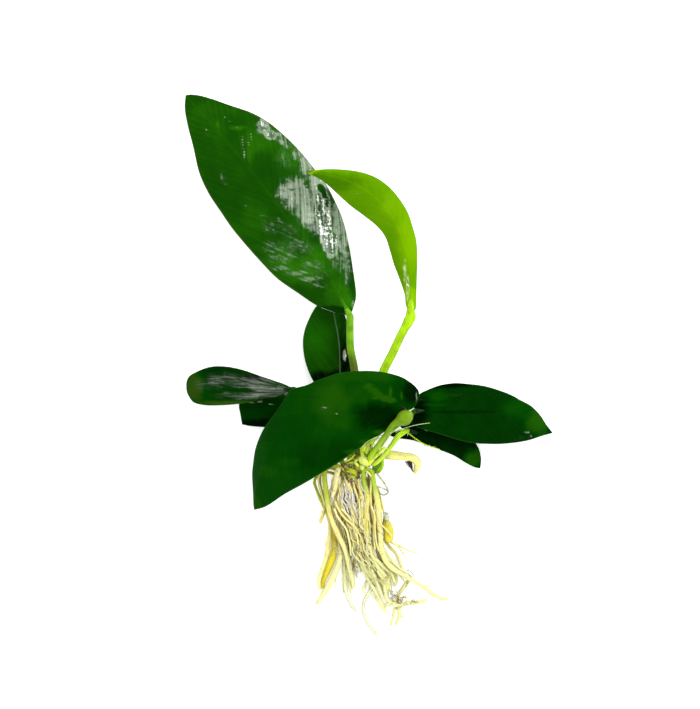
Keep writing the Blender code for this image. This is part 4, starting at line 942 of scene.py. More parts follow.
def lamina_finish(name, upper, lighter, shade, vein, rim, under, vein_strength,
                  midrib="#2a6a0c", midrib_strength=0.0, midrib_width=0.65,
                  base_strength=0.0, streaks_along=False, soft=0.14, ragged=1.0,
                  combed=0.5, mottled=0.8, water="#b4c0ac"):
    """Anubias leaf lamina: a thick living blade under a waxy skin, still damp.

    The skin grew smooth, so the eye gets a deep green under a clear gloss,
    sunk lateral veins that run forward to the margin, and a wet film whose
    sheen is painted in pale streaks, with painted glints.
    """
    material, add, place, surface = new_finish(name)
    veins = bpy.context.scene.anubias_leaves.vein_spacing / MM
    (along, across, below), (to_margin, film, tone) = (
        add("SeparateXYZ", (add("Attribute", out="Vector", attribute_name=title),),
            out=None).outputs for title in ("blade_plan", "blade_marks"))
    away = add("Math ABSOLUTE", (across,))
    # A lateral vein leaves the midrib at about 35 degrees and bends forward.
    lean = add("Math MULTIPLY_ADD", (away, -VEIN_BEND, -VEIN_LEAN))
    line = add("Math MULTIPLY_ADD", (lean, away, along))
    drift = add("TexNoise", {"Vector": place, "Scale": 1 / 0.007, "Detail": 1.0})
    line = add("Math MULTIPLY_ADD", (drift, VEIN_DRIFT, line))
    lateral = add("Math PINGPONG", (line, veins / 2))
    lateral = add("MapRange", (lateral, 0.0, 0.5, 1.0, 0.0), interpolation_type="SMOOTHSTEP")
    # Fine veins are 0.7 mm apart; real ones are closer than a picture can show.
    fine = add("Math PINGPONG", (line, 0.35))
    # Streaks of the film are 0.5 mm wide and 6 mm or more long.
    if streaks_along:
        over = add("Math SIGN", (across,))
        over = add("Math MULTIPLY", (over, to_margin))
        flow = add("CombineXYZ", (along, over, below))
        grain = (0.1, 5.5, 5.0)
    else:
        flow = add("CombineXYZ", (line, away, below))
        grain = (0.62, 0.1, 5.0)
    flow = add("VectorMath MULTIPLY", (flow, grain))
    streak = add("TexNoise", {"Vector": flow, "Scale": 1.0, "Detail": 3.0, "Roughness": 0.6})
    speck = add("TexNoise", {"Vector": place, "Scale": 1 / 0.0016, "Detail": 3.0,
                             "Roughness": 0.7})
    wet = add("Math MULTIPLY", (speck, ragged))
    wet = add("Math MULTIPLY_ADD", (streak, combed, wet))
    wet = add("Math MULTIPLY_ADD", (film, 0.62, wet))
    # The noises lie round 0.5; the film begins where 0.35 more is reached.
    start = 0.35 + 0.5 * (combed + ragged)
    wet = add("MapRange", (wet, start, start + soft))
    # Colour: broad patches, then drawn tones and painted shade, veins, midrib, the film's painted
    # sheen and glints, and rim.
    patch = add("TexNoise", {"Vector": place, "Scale": 1 / 0.012, "Detail": 3.0})
    patch = add("Math MULTIPLY_ADD", (patch, mottled, -mottled / 2))
    patch = add("Math ADD", (patch, tone))
    patch = add("Math MULTIPLY_ADD", (streak, 0.65 * mottled, patch))
    patch = add("Math SUBTRACT", (patch, 0.325 * mottled))
    light = add("MapRange", (patch, 0.0, 1.0))
    dark = add("MapRange", (patch, 0.0, -1.0))
    brown = add("MapRange", (tone, 1.05, 1.8))
    ribbing = add("Math MULTIPLY", (lateral, vein_strength))
    core = add("MapRange", (away, 0.2 * midrib_width, midrib_width, 1.0, 0.0),
               interpolation_type="SMOOTHSTEP")
    # The midrib is palest at the blade's base.
    base = add("MapRange",
               (along, 1.0, 8.0, max(base_strength, midrib_strength), midrib_strength))
    core = add("Math MULTIPLY", (core, base))
    # The film's pale sheen is painted into the colour, streaked.
    painted_sheen = add("MapRange", (streak, 0.34, 0.66, 0.3, 0.8))
    painted_sheen = add("Math MULTIPLY", (painted_sheen, wet))
    # Round the film stand thin pale lines, 0.15 mm wide, that join its painted sheen.
    dried = add("VectorMath MULTIPLY", (flow, (1.5, 4.0, 1.0)))
    dried = add("TexNoise", {"Vector": dried, "Scale": 1.0, "Detail": 2.0, "Roughness": 0.6})
    dried = add("Math SUBTRACT", (dried, 0.5))
    dried = add("Math ABSOLUTE", (dried,))
    dried = add("MapRange", (dried, 0.0, 0.035, 1.0, 0.0))
    near = add("MapRange", (film, 0.25, 0.55, 0.0, 0.22))
    dried = add("Math MULTIPLY", (dried, near))
    painted_sheen = add("Math MAXIMUM", (painted_sheen, dried))
    # A thin film gets less painted sheen, and so does a film strong enough for painted glints,
    # which stand on clear green.
    for low, high, first, last in ((0.45, 0.95, 0.34, 1.0), (1.05, 1.35, 1.0, 0.2)):
        veil = add("MapRange", (film, low, high, first, last))
        painted_sheen = add("Math MULTIPLY", (painted_sheen, veil))
    # Painted glints, nearly white, on the strongest film.
    painted_glint = add("TexNoise", {"Vector": place, "Scale": 1 / 0.0013, "Detail": 4.0,
                               "Roughness": 0.75})
    painted_glint = add("Math MULTIPLY_ADD", (streak, 0.9, painted_glint))
    painted_glint = add("Math MULTIPLY_ADD", (film, 0.35, painted_glint))
    painted_glint = add("MapRange", (painted_glint, 1.48, 1.55, 0.0, 0.95))
    edge = add("MapRange", (to_margin, 0.97, 0.995, 0.0, 0.6))
    # Tones below -1.5 mark a rim that shines in the light.
    shining = add("MapRange", (tone, -1.3, -1.6))
    shining = add("Math MULTIPLY", (shining, edge))
    # water tints the painted sheen, and #fafdf6 whitens the painted glints.
    colour = tinted(add, upper, (
        (light, lighter), (dark, shade), (ribbing, vein), (core, midrib), (brown, "#4c3a12"),
        (painted_sheen, water), (painted_glint, "#fafdf6"), (edge, rim), (shining, "#f4f8f0"),
        (below, under)))
    relief = add("Math MULTIPLY_ADD", (fine, 0.5, speck))
    relief = add("Math MULTIPLY_ADD", (lateral, -0.5, relief))
    bump = add("Bump", {"Height": relief, "Strength": 0.15, "Distance": 0.0001})
    surface({"Base Color": colour, "Normal": bump, "Roughness": 0.35, "IOR": 1.4,
             "Specular IOR Level": 0.004, "Coat Weight": wet, "Coat Roughness": 0.14,
             "Coat IOR": 1.3})
    return material


def stalk_finish(name, fresh, deep, pale, leaf_end=None, olive_below=None, sheen=0.42):
    """Living leaf stalk: a firm juicy stem under a thin waxy skin.

    It grew in fine ribs along its length, so the eye gets a satin highlight
    broken into long lines, a paler foot and a few darker flecks.
    """
    material, add, place, surface = new_finish(name)
    strand, rib = fibrous(add, 4.5, 0.14, Detail=2.0)
    patch = add("TexNoise", {"Vector": place, "Scale": 1 / 0.0035, "Detail": 2.0})
    tone = add("Math MULTIPLY_ADD", (rib, 0.6, patch))
    tone = add("MapRange", (tone, 0.95, 0.6))
    height = add("SeparateXYZ", (place,), out="Y")
    foot = add("MapRange", (height, -0.021, -0.031, 0.0, 0.85), interpolation_type="SMOOTHSTEP")
    fleck = add("TexNoise", {"Vector": place, "Scale": 1 / 0.0009, "Detail": 1.0})
    fleck = add("MapRange", (fleck, 0.64, 0.74, 0.0, 0.35))
    # The stalk's sides get painted shade in dark olive.
    tints = [(tone, deep), (foot, pale), (fleck, "#4c7a12"), (painted_side_shade(add, 0.6), "#4a6006")]
    if olive_below is not None:
        shade = add("MapRange", (height, olive_below, olive_below - 0.006, 0.0, 0.8))
        tints.append((shade, "#4a4a10"))
    if leaf_end is not None:
        # The last few millimetres below the blade take its dark green.
        travelled = add("SeparateXYZ", (strand,), out="Z")
        near = add("MapRange", (travelled, 2.0, 4.5, 0.95, 0.0), interpolation_type="SMOOTHSTEP")
        tints.append((near, leaf_end))
    gloss = add("MapRange", (rib, 0.3, 0.7, sheen - 0.08, sheen + 0.1))
    bump = add("Bump", {"Height": rib, "Strength": 0.6, "Distance": 0.0001})
    surface({"Base Color": tinted(add, fresh, tints), "Roughness": gloss, "Normal": bump,
             "IOR": 1.42, "Specular IOR Level": 0.2, "Subsurface Weight": 0.12,
             "Subsurface Radius": (0.0005, 0.0007, 0.0002), "Subsurface Scale": 1.0})
    return material


def rhizome_finish(name, skin):
    """Anubias rhizome: a living creeping stem with a corky, scarred skin.

    It thickened slowly and shed its old stalks and roots, so the eye gets
    yellow-green flesh, cream at the growing crown, between brown scars.
    """
    material, add, place, surface = new_finish(name)
    patch = add("TexNoise", {"Vector": place, "Scale": 1 / 0.0022, "Detail": 4.0,
                             "Roughness": 0.65})
    tone = add("MapRange", (patch, 0.42, 0.62))
    ragged = add("TexNoise", {"Vector": place, "Scale": 1 / 0.0014, "Detail": 4.0,
                              "Roughness": 0.75})
    scar = add("MapRange", (ragged, 0.5, 0.6, 0.0, 0.9))
    # The crown at the right end is the youngest and palest.
    side = add("SeparateXYZ", (place,), out="X")
    young, old = (
        add("MapRange", (side, low, high, 0.0, most), interpolation_type="SMOOTHSTEP")
        for low, high, most in ((-0.0042, -0.0012, 0.85), (-0.0012, -0.0042, 1.0)))
    scar = add("Math MULTIPLY", (scar, old))
    # The rhizome's sides get painted shade in dark brown.
    colour = tinted(add, skin, ((tone, "#d4de30"), (young, "#ecf0b4"), (scar, "#5a3a10"),
                                (painted_side_shade(add, 0.4), "#5a4a10")))
    relief = add("Math MULTIPLY_ADD", (scar, -1.0, patch))
    bump = add("Bump", {"Height": relief, "Strength": 0.9, "Distance": 0.0004})
    surface({"Base Color": colour, "Normal": bump, "Roughness": 0.55, "IOR": 1.42,
             "Specular IOR Level": 0.35})
    return material


def root_finish(name, body, light, old, green_reach, green, young="#f5f8b4",
                crease_and_side_shade="#8a7a30", turned=0.72):
    """Living water root: a white core under a thin, damp, yellowish skin.

    It grew smooth, yellowed with age and turned green where light reached it,
    so the eye gets a soft waxy cream, greener near the rhizome, with small
    brown nicks, fine rings and a whiter tip.
    """
    material, add, place, surface = new_finish(name)
    # Wrinkles run along it, 0.3 mm apart, where the skin dried a little.
    strand, wrinkle = fibrous(add, 3.0, 0.22, Detail=3.0, Roughness=0.6)
    crease = add("MapRange", (wrinkle, 0.46, 0.34, 0.0, 0.32))
    _, tint, travelled = add("SeparateXYZ", (strand,), out=None).outputs
    patch = add("TexNoise", {"Vector": place, "Scale": 1 / 0.0042, "Detail": 3.0,
                             "Roughness": 0.6})
    tone = add("Math MULTIPLY_ADD", (tint, 0.5, patch))
    tone = add("MapRange", (tone, 0.45, 1.0))
    height = add("SeparateXYZ", (place,), out="Y")
    lit = add("Math MULTIPLY_ADD", (patch, 0.008, height))
    lit = add("MapRange", (lit, green_reach - 0.005, green_reach + 0.006, 0.0, 0.92),
              interpolation_type="SMOOTHSTEP")
    # New growth towards the tips is paler.
    fresh = add("MapRange", (height, -0.05, -0.074, 0.0, 0.85), interpolation_type="SMOOTHSTEP")
    # Nicks and browned skin, 0.4 to 1 mm long.
    nick = add("TexNoise", {"Vector": place, "Scale": 1 / 0.0012, "Detail": 4.0,
                            "Roughness": 0.75})
    nick = add("MapRange", (nick, 0.58, 0.72, 0.0, 0.7))
    # The root's sides get painted shade, in the tint that the sunk wrinkles also take.
    colour = tinted(add, body, ((tone, light), (fresh, young), (lit, green),
                                (crease, crease_and_side_shade), (nick, old),
                                (painted_side_shade(add, 0.7, turned), crease_and_side_shade)))
    ring = add("Math MULTIPLY_ADD", (travelled, 5.5, patch))
    ring = add("Math PINGPONG", (ring, 1.0))
    relief = add("Math MULTIPLY_ADD", (ring, 0.25, nick))
    relief = add("Math MULTIPLY_ADD", (crease, -2.0, relief))
    bump = add("Bump", {"Height": relief, "Strength": 0.5, "Distance": 0.00012})
    surface({"Base Color": colour, "Normal": bump, "Roughness": 0.45, "IOR": 1.4,
             "Specular IOR Level": 0.3, "Subsurface Weight": 0.1,
             "Subsurface Radius": (0.0006, 0.0005, 0.0002), "Subsurface Scale": 1.0})
    return material


def dead_skin_finish(name, one_end, other_end, roughness=0.6, shaded=0.6):
    """Dead plant skin: thin tissue that dried after it was shed.

    It shrank unevenly, so the eye gets a dull, wrinkled film that goes from
    one tone to another along it.
    """
    material, add, place, surface = new_finish(name)
    patch = add("TexNoise", {"Vector": place, "Scale": 1 / 0.0014, "Detail": 4.0,
                             "Roughness": 0.65})
    tone = add("MapRange", (patch, 0.36, 0.64))
    # The sides get painted shade, as much as shaded gives.
    colour = tinted(add, linear(one_end), ((tone, other_end),
                                           (painted_side_shade(add, shaded), "#4a4028")))
    bump = add("Bump", {"Height": patch, "Strength": 0.7, "Distance": 0.0002})
    surface({"Base Color": colour, "Normal": bump, "Roughness": roughness})
    return material


# -------------------------------------------------------------------- blades
def patch_strength(patches, points):
    """How strongly drawn patches cover points in mm; their outlines wander."""
    total = np.zeros(points.shape[:-1])
    x, y = points[..., 0], points[..., 1]
    drift_x, drift_y = 0.7 * wander(y * 0.8, 5), 0.7 * wander(x * 0.8, 9)
    for centre_x, centre_y, half_x, half_y, strength in patches:
        centre = on_plan((centre_x, centre_y))
        loose = min(1.0, min(half_x, half_y) / 12)
        away = np.hypot((x + loose * drift_x - centre[0]) * SHEET_UNITS_PER_MM / half_x,
                        (y + loose * drift_y - centre[1]) * SHEET_UNITS_PER_MM / half_y)
        cover = smooth_step(1.5 - away, 0.0, 1.0)
        total = total * (1 - cover) + strength * cover
    return total


def film_and_sheen_strength(patches, points):
    """Where the film and its painted sheen lie: the strongest patch, less the holes."""
    total = np.zeros(points.shape[:-1])
    for patch in patches:
        cover = patch_strength([patch], points)
        total = np.maximum(total, cover) if patch[4] > 0 else total * (1 + cover)
    return total


def blade_lines(name, shares):
    """A blade's two margins and the midrib between them, read at shares of each."""
    one, midrib, other, _ = BLADES[name]
    base, tip = midrib[:1], midrib[-1:]
    return [curve_at(laid(line), shares, cuts=24)
            for line in (base + one + tip, midrib, base + other + tip)]


def unit(vectors):
    """Vectors of length 1."""
    return vectors / np.maximum(np.linalg.norm(vectors, axis=-1, keepdims=True), 1e-9)


def shell_faces(inner, columns):
    """The faces of a closed blade.

    Vertex 0 is at its base and vertex 1 at its tip. Then come the inner rows
    of the top, and those of the bottom.
    """
    top, bottom = 2 + np.arange(2 * inner * columns).reshape(2, inner, columns)
    strips = [(top[:, k + 1], top[:, k]) for k in range(columns - 1)]
    strips += [(bottom[:, k], bottom[:, k + 1]) for k in range(columns - 1)]
    strips += [(top[:, 0], bottom[:, 0]), (bottom[:, -1], top[:, -1])]
    faces = []
    for strip in strips:
        one, other = (column.tolist() for column in strip)
        faces += [(0, one[0], other[0]), (1, other[-1], one[-1])]
        faces += zip(one, one[1:], other[1:], other)
    return faces


def blade_mesh(name, seed):
    """A closed blade with a sunk midrib, lateral veins and thin waved margins."""
    settings = bpy.context.scene.anubias_leaves
    step = settings.mesh_step / MM
    length = line_length(laid(BLADES[name][1]))
    rows = max(30, round(length / step))
    even = np.linspace(0, 1, rows + 1)
    shares = 0.6 * even + 0.4 * (0.5 - 0.5 * np.cos(math.pi * even))
    left, middle, right = blade_lines(name, shares)
    half = max(np.linalg.norm(margin - middle, axis=1).max() for margin in (left, right))
    cells = max(10, round(half / step))
    side = np.arange(-cells, cells + 1) / cells
    side = (np.sign(side) * np.abs(side) ** 1.2)[None, :]
    shares = shares[:, None]
    reach = np.abs(side)
    middle = middle[:, None, :]
    edge = np.where(side[..., None] > 0, right[:, None, :], left[:, None, :])
    base = middle + (edge - middle) * reach[..., None]
    swell = BLADES[name][3]
    base[..., 2] += swell * np.sin(math.pi * reach) * np.sin(math.pi * shares)
    width = np.linalg.norm(edge - middle, axis=2)
    across = width * side
    away = np.abs(across)
    along = np.broadcast_to(shares * length, across.shape)

    # The margins wave a little, each on its own side.
    wave = np.where(side > 0, wander(along / 9.0, seed), wander(along / 9.0, seed + 7))
    fade = smooth_step(width, 1.0, 6.0) * np.sin(math.pi * shares) ** 0.7
    base[..., 2] += settings.wave_height / MM * wave * reach ** 2.5 * fade

    normal = np.cross(np.gradient(base, axis=0), np.gradient(base, axis=1))
    if normal[rows // 2, :, 2].mean() < 0:
        normal = -normal
    normal[0], normal[-1] = normal[1], normal[-2]
    normal = unit(normal)
    # The fold at the midrib is rounded over a millimetre.
    for _ in range(2):
        normal[:, 1:-1] = (normal[:, :-2] + 2 * normal[:, 1:-1] + normal[:, 2:]) / 4
    normal = unit(normal)

    veins = settings.vein_spacing / MM
    line = along - VEIN_LEAN * away - VEIN_BEND * away ** 2 + VEIN_DRIFT * 0.5
    phase = np.abs((line / veins) % 1.0 - 0.5) * 2
    lateral = np.clip(1 - (1 - phase) * veins / 0.9, 0, 1)
    quiet = smooth_step(width, 2.0, 7.0) * smooth_step(1 - reach, 0.0, 0.18)
    quilt = wander(line / veins * 2.1, seed + 3) * 0.6
    depth = settings.vein_depth / MM
    groove = (settings.midrib_depth / MM * np.exp(-(away / 0.5) ** 2)
              * smooth_step(width, 0.6, 3.0) * (1 - 0.6 * shares))
    shoulder = (0.35 * settings.midrib_depth / MM * np.exp(-((away - 1.2) / 0.5) ** 2)
                * smooth_step(width, 2.5, 6.0))
    lift = quiet * depth * (quilt - lateral) - groove + shoulder
    drop = quiet * depth * (1.4 * lateral - 0.5 * quilt)
    rounding = smooth_step(np.minimum(shares, 1 - shares) * length, 0.0, 2.2)
    body = 0.5 * settings.thickness / MM * (1 - 0.74 * reach ** 6) * rounding
    top = base + normal * (body + lift * rounding)[..., None]
    bottom = base - normal * (body + drop * rounding)[..., None]
    # A margin that lies on the surface lies flat on it.
    bottom[..., 2] = np.maximum(bottom[..., 2], 0.02)
    top[..., 2] = np.maximum(top[..., 2], bottom[..., 2] + 1.6 * body)

    def inside(layers):
        return layers[1:-1].reshape(-1, 3)

    vertices = np.vstack([middle[0], middle[-1], inside(top), inside(bottom)])
    mesh = bpy.data.meshes.new(name)
    mesh.from_pydata((vertices * MM).tolist(), [], shell_faces(rows - 1, side.size))

    plan = inside(np.stack([along, across, 0 * along], axis=2))
    marks = inside(np.stack([reach + 0 * along, film_and_sheen_strength(FILM_AND_SHEEN[name], base),
                             patch_strength(TONE[name], base)], axis=2))
    for title, rows_of in (
            ("blade_plan", ([[0, 0, 0], [length, 0, 0]], plan, plan + [0, 0, 1])),
            ("blade_marks", (marks[[0, -1]] * [0, 1, 1], marks, marks * [1, 0, 1]))):
        attribute = mesh.attributes.new(title, "FLOAT_VECTOR", "POINT")
        attribute.data.foreach_set("vector", np.vstack(rows_of).astype(np.float32).ravel())

    shape = bmesh.new()
    shape.from_mesh(mesh)
    bmesh.ops.recalc_face_normals(shape, faces=shape.faces)
    if shape.calc_volume(signed=True) < 0:
        bmesh.ops.reverse_faces(shape, faces=shape.faces)
    shape.to_mesh(mesh)
    shape.free()
    return mesh


def rib_strand(name):
    """The midrib's ridge on a blade's underside, from near the tip to the base."""
    radius = RIB_RADII.get(name, 0.85)
    shares = np.linspace(0.9, 0.0, 60)
    left, middle, right = blade_lines(name, shares)
    normal = np.cross(np.gradient(middle, axis=0), right - left)
    normal = unit(normal * np.sign(normal[len(normal) // 2, 2]))
    normal[-3:] = normal[-4]
    travelled = shares * line_length(middle)
    thick = 0.16 + (0.72 * radius - 0.16) * (1 - shares) ** 1.6
    base = smooth_step(travelled, 0.0, 4.0)
    thick = thick * base + radius * (1 - base)
    sunk = (0.1 + 0.95 * thick) * smooth_step(travelled, 0.0, 5.0)
    return np.column_stack([middle - normal * sunk[:, None], thick])


# ----------------------------------------------------------------- operators
class ANUBIAS_OT_blades(bpy.types.Operator):
    """Grow the eight leaf blades and the midrib's ridge under each."""
    bl_idname = "anubias.blades"
    bl_label = "Leaf blades"

    def execute(self, context):
        settings = context.scene.anubias_leaves
        uppers = {"leaf_mid_green": settings.mid_green, "leaf_rear": settings.mid_green,
                  "leaf_young_green": settings.young_green}
        finishes = {look: lamina_finish(look.replace("leaf", "lamina"),
                                        uppers.get(look, settings.dark_green), **values)
                    for look, values in BLADE_LOOKS.items()}
        ribs = {slot: [] for slot in MIDRIB_TINTS}
        for seed, name in enumerate(BLADES):
            slot = BLADE_SLOTS.get(name, "leaf_dark_green")
            put_on_plant(name.replace("leaf", "blade"), blade_mesh(name, seed + 1),
                         finishes.get(name, finishes[slot]), [name])
            ribs[slot].append(fine_strand(rib_strand(name), 0.6))
        for slot, (deep, fresh) in MIDRIB_TINTS.items():
            skin = stalk_finish(slot.replace("leaf", "midrib"), linear(fresh), deep, fresh)
            grow(slot.replace("leaf", "midribs"), ribs[slot], skin, sides=12,
                 unevenness=0.00003, swelling=0.004, seed=5)
        return {"FINISHED"}


class ANUBIAS_OT_stalks(bpy.types.Operator):
    """Grow the leaf stalks, from the blades down into the rhizome."""
    bl_idname = "anubias.stalks"
    bl_label = "Leaf stalks"

    def execute(self, context):
        settings = context.scene.anubias_stalks
        fresh = tuple(settings.light_green)
        dark_top = stalk_finish("stalk_skin", fresh, "#5c8c06", "#b4cc20", leaf_end="#164404")
        shaded = stalk_finish("stalk_skin_in_shade", fresh, "#5c9a06", "#b4c848",
                              olive_below=0.0066)
        bright = stalk_finish("stalk_skin_young", linear("#baec0a"), "#98c808", "#d0e844")
        matt = stalk_finish("stalk_skin_swollen", linear("#7ca40e"), "#648c0c", "#b8e414",
                            sheen=0.5)
        skins = {"stalk_tall": shaded, "stalk_young": bright, "crown_stub": bright,
                 "stalk_front": matt, "stalk_right_low": bright}
        step = settings.mesh_step / MM
        for seed, stalk in enumerate(STALKS):
            line = np.vstack([settled_strands()[stalk], on_plan(STALK_FEET[stalk])])
            blade = stalk.replace("stalk", "leaf")
            if blade in BLADES:
                # It runs a few millimetres up into the blade's midrib.
                inner = STALK_REACH.get(stalk, 1.5)
                midrib = laid(BLADES[blade][1])
                shares = np.array([inner, inner / 2, 0]) / line_length(midrib)
                thick = line[0, 3] * np.array([0.35, 0.75, 0.95])
                line = np.vstack([np.column_stack([curve_at(midrib, shares), thick]), line])
            lines = [line]
            if stalk == "stalk_front":
                lines = [laid(KNOB_STALK), laid(KNOB_BEND)]
            elif stalk == "stalk_right_low":
                line[:, 3] *= 0.88
            elif stalk == "stalk_young":
                line += [-0.14, 0, 0, 0.14]
                lines.append(laid(YOUNG_KNEE))
            name = "old_stalk_stub" if stalk == "crown_stub" else stalk.replace("stalk", "petiole")
            grow(name, [fine_strand(line, step) for line in lines], skins.get(stalk, dark_top),
                 [stalk], sides=settings.sides,
                 unevenness=settings.unevenness, swelling=0.004, seed=seed)
        return {"FINISHED"}


class ANUBIAS_OT_rhizome(bpy.types.Operator):
    """Grow the rhizome with its knobs, its bud and what is left of old sheaths."""
    bl_idname = "anubias.rhizome"
    bl_label = "Rhizome and bud"

    def execute(self, context):
        settings = context.scene.anubias_stalks
        cork = rhizome_finish("rhizome_cork", settings.rhizome_green)
        stem = fine_strand(settled_strands()["rhizome"], 0.3)
        # Old leaf scars ring the stem every 2 mm or so.
        along = np.arange(len(stem)) * 0.3
        stem[:, 3] *= 0.94 + 0.05 * np.sin(along * 3.1) + 0.03 * np.sin(along * 1.3 + 1)
        grow("rhizome_stem", [stem, *fine_strands(RHIZOME_KNOBS, 0.3)], cork,
             ["rhizome"], sides=36,
             unevenness=settings.knob_height, swelling=0.0018, seed=11)

        # The bud: a bright sheath bent round a folded leaf, which shows as ribs.
        green = stalk_finish("bud_skin", linear("#98c80c"), "#5c8c06", "#a4d40c")
        grow("leaf_bud", fine_strands(BUD, 0.25), green,
             ["rhizome_bud"], sides=18, unevenness=0.00008, swelling=0.002, seed=12)
        folded = stalk_finish("folded_leaf_skin", linear("#447a0a"), "#2f5e06", "#548a10")
        ribs = [[(x - left * k, y + down * k, z, radius)
                 for x, left, y, down, z, radius in FOLDED_RIB] for k in range(5)]
        grow("folded_leaf_ribs", fine_strands(ribs, 0.3), folded,
             sides=10, unevenness=0.00004, swelling=0.002, seed=13)

        heart = dead_skin_finish("crown_heart", "#d4f014", "#fcff9c", roughness=0.55,
                                 shaded=0.15)
        grow("crown_heart", fine_strands(CROWN_HEART, 0.25), heart,
             sides=18, unevenness=0.0003, swelling=0.0007, seed=15)
        sheath = stalk_finish("sheath_remains", linear("#d0ff20"), "#b4ee10", "#eeff58")
        grow("sheath_remains", fine_strands(SHEATH_REMAINS, 0.3), sheath,
             sides=12, unevenness=0.00008, swelling=0.0014, seed=14)
        return {"FINISHED"}


class ANUBIAS_OT_hooked_root(bpy.types.Operator):
    """Grow the thick hooked root and the torn dark skin in its crook."""
    bl_idname = "anubias.hooked_root"
    bl_label = "Hooked root"

    def execute(self, context):
        settings = context.scene.anubias_roots
        cream = root_finish("thick_root_skin", linear("#f4ec74"), "#fbf8a4", "#9c7a18",
                            -0.0245, "#c4cc20")
        line = np.vstack([laid(HOOK_START), settled_strands()["hooked_root"]])
        grow("hooked_root_skin", [fine_strand(line, 0.35)], cream,
             ["hooked_root"], sides=24, unevenness=settings.unevenness * 0.8,
             swelling=0.003, seed=21)

        # The torn skin hangs as a curled flap between its two edges.
        torn = dead_skin_finish("torn_root_skin", "#0c0804", "#241a0e")
        flap = bmesh.new()
        upper, lower = (curve_at(laid(edge), np.linspace(0, 1, 25), cuts=16)
                        for edge in TORN_SKIN)
        grid = []
        for row in range(9):
            share = row / 8
            line = upper * (1 - share) + lower * share
            line[:, 2] += (0.5 * math.sin(math.pi * share)
                           + 0.18 * wander(np.arange(25) * 0.7 + row, 5))
            grid.append([flap.verts.new(tuple(point * MM)) for point in line])
        for one, other in zip(grid, grid[1:]):
            for corners in zip(one, one[1:], other[1:], other):
                flap.faces.new(corners)
        bmesh.ops.remove_doubles(flap, verts=flap.verts, dist=0.02 * MM)
        bmesh.ops.recalc_face_normals(flap, faces=flap.faces)
        bmesh.ops.solidify(flap, geom=flap.faces[:], thickness=0.22 * MM)
        bmesh.ops.recalc_face_normals(flap, faces=flap.faces)
        put_on_plant("torn_root_skin", mesh_from(flap, "torn_skin"), torn,
                     ["hooked_root_sheath"])
        return {"FINISHED"}


def joined_start(line, others):
    """The strand with its first point carried to what it grows from."""
    best = None
    for other in others:
        gaps = np.linalg.norm(other[:, :3] - line[0][:3], axis=1)
        index = int(gaps.argmin())
        if best is None or gaps[index] - other[index][3] < best[0]:
            best = (gaps[index] - other[index][3], other[index])
    if best[0] > 4.0:
        return line
    return np.vstack([np.append(best[1][:3], line[0][3]), line])


class ANUBIAS_OT_roots(bpy.types.Operator):
    """Grow the twenty-four main roots."""
    bl_idname = "anubias.roots"
    bl_label = "Main roots"

    def execute(self, context):
        settings = context.scene.anubias_roots
        cream = tuple(settings.cream)
        skins = {
            "cream": root_finish("root_skin_cream", cream, "#fff8c0", "#8a6428", -0.0285,
                                 "#c4cc20"),
            "yellowish": root_finish("root_skin_yellowish", cream, "#f8f2a0", "#8f8a2a",
                                     -0.0435, "#b4c810"),
            "green": root_finish("root_skin_greenish", linear("#f2e664"), "#fbf4a0",
                                 "#8f8a2a", -0.0385, "#a4cc06"),
            "ochre": root_finish("root_skin_ochre", tuple(settings.ochre), "#ece44a",
                                 "#8c7010", -0.02, "#d8d020", "#f2e22c"),
            "white": root_finish("root_skin_white", linear("#f4f8cc"), "#fcfee8", "#8f8a5a",
                                 -0.02, "#d8d020", "#f6fad0", "#56644a", 0.93),
        }
        strands = settled_strands()
        joints = {name: fine_strand(strands[name], 0.8) for name in (*ROOTS, "rhizome")}
        for seed, root in enumerate(ROOTS):
            slot, look = "root_cream", "cream"
            if root in OCHRE_ROOTS:
                slot, look = "root_ochre", "ochre"
            elif root in GREEN_ROOTS:
                slot, look = "root_green_yellow", "green"
            if root in YELLOWISH_ROOTS:
                look = "yellowish"
            line = strands[root].copy()
            if root in WHITE_ROOTS:
                look = "white"
                # Clear skin stands a little off the core.
                line[:, 3] *= 1.2
            if root == "root_07":
                line[0] = on_plan(ROOT_07_START)
            elif root == "root_13":
                # Past its bend it is thinner.
                line[:, 3] *= 1 - 0.25 * smooth_step(line[:, 0], 7.0, 11.0)
            elif root == "root_14":
                # Only its lower end is swollen.
                line[:, 3] *= 0.25 + 0.95 * smooth_step(-line[:, 1], 49.5, 53.5)
            # The tips are blunt, and the thin roots swell as they soak.
            line[:, 3] = np.maximum(line[:, 3], 0.1 + 0.9 * line[:, 3])
            line[-1, 3] = max(line[-1, 3], 0.8 * line[-2, 3])
            if root != "root_07":
                line = joined_start(line, [joints[name] for name in joints if name != root])
            grow(root.replace("root", "main_root"), [fine_strand(line, settings.mesh_step / MM)],
                 skins[look], [root], sides=settings.sides,
                 unevenness=settings.unevenness, swelling=0.0021, seed=seed)
        return {"FINISHED"}


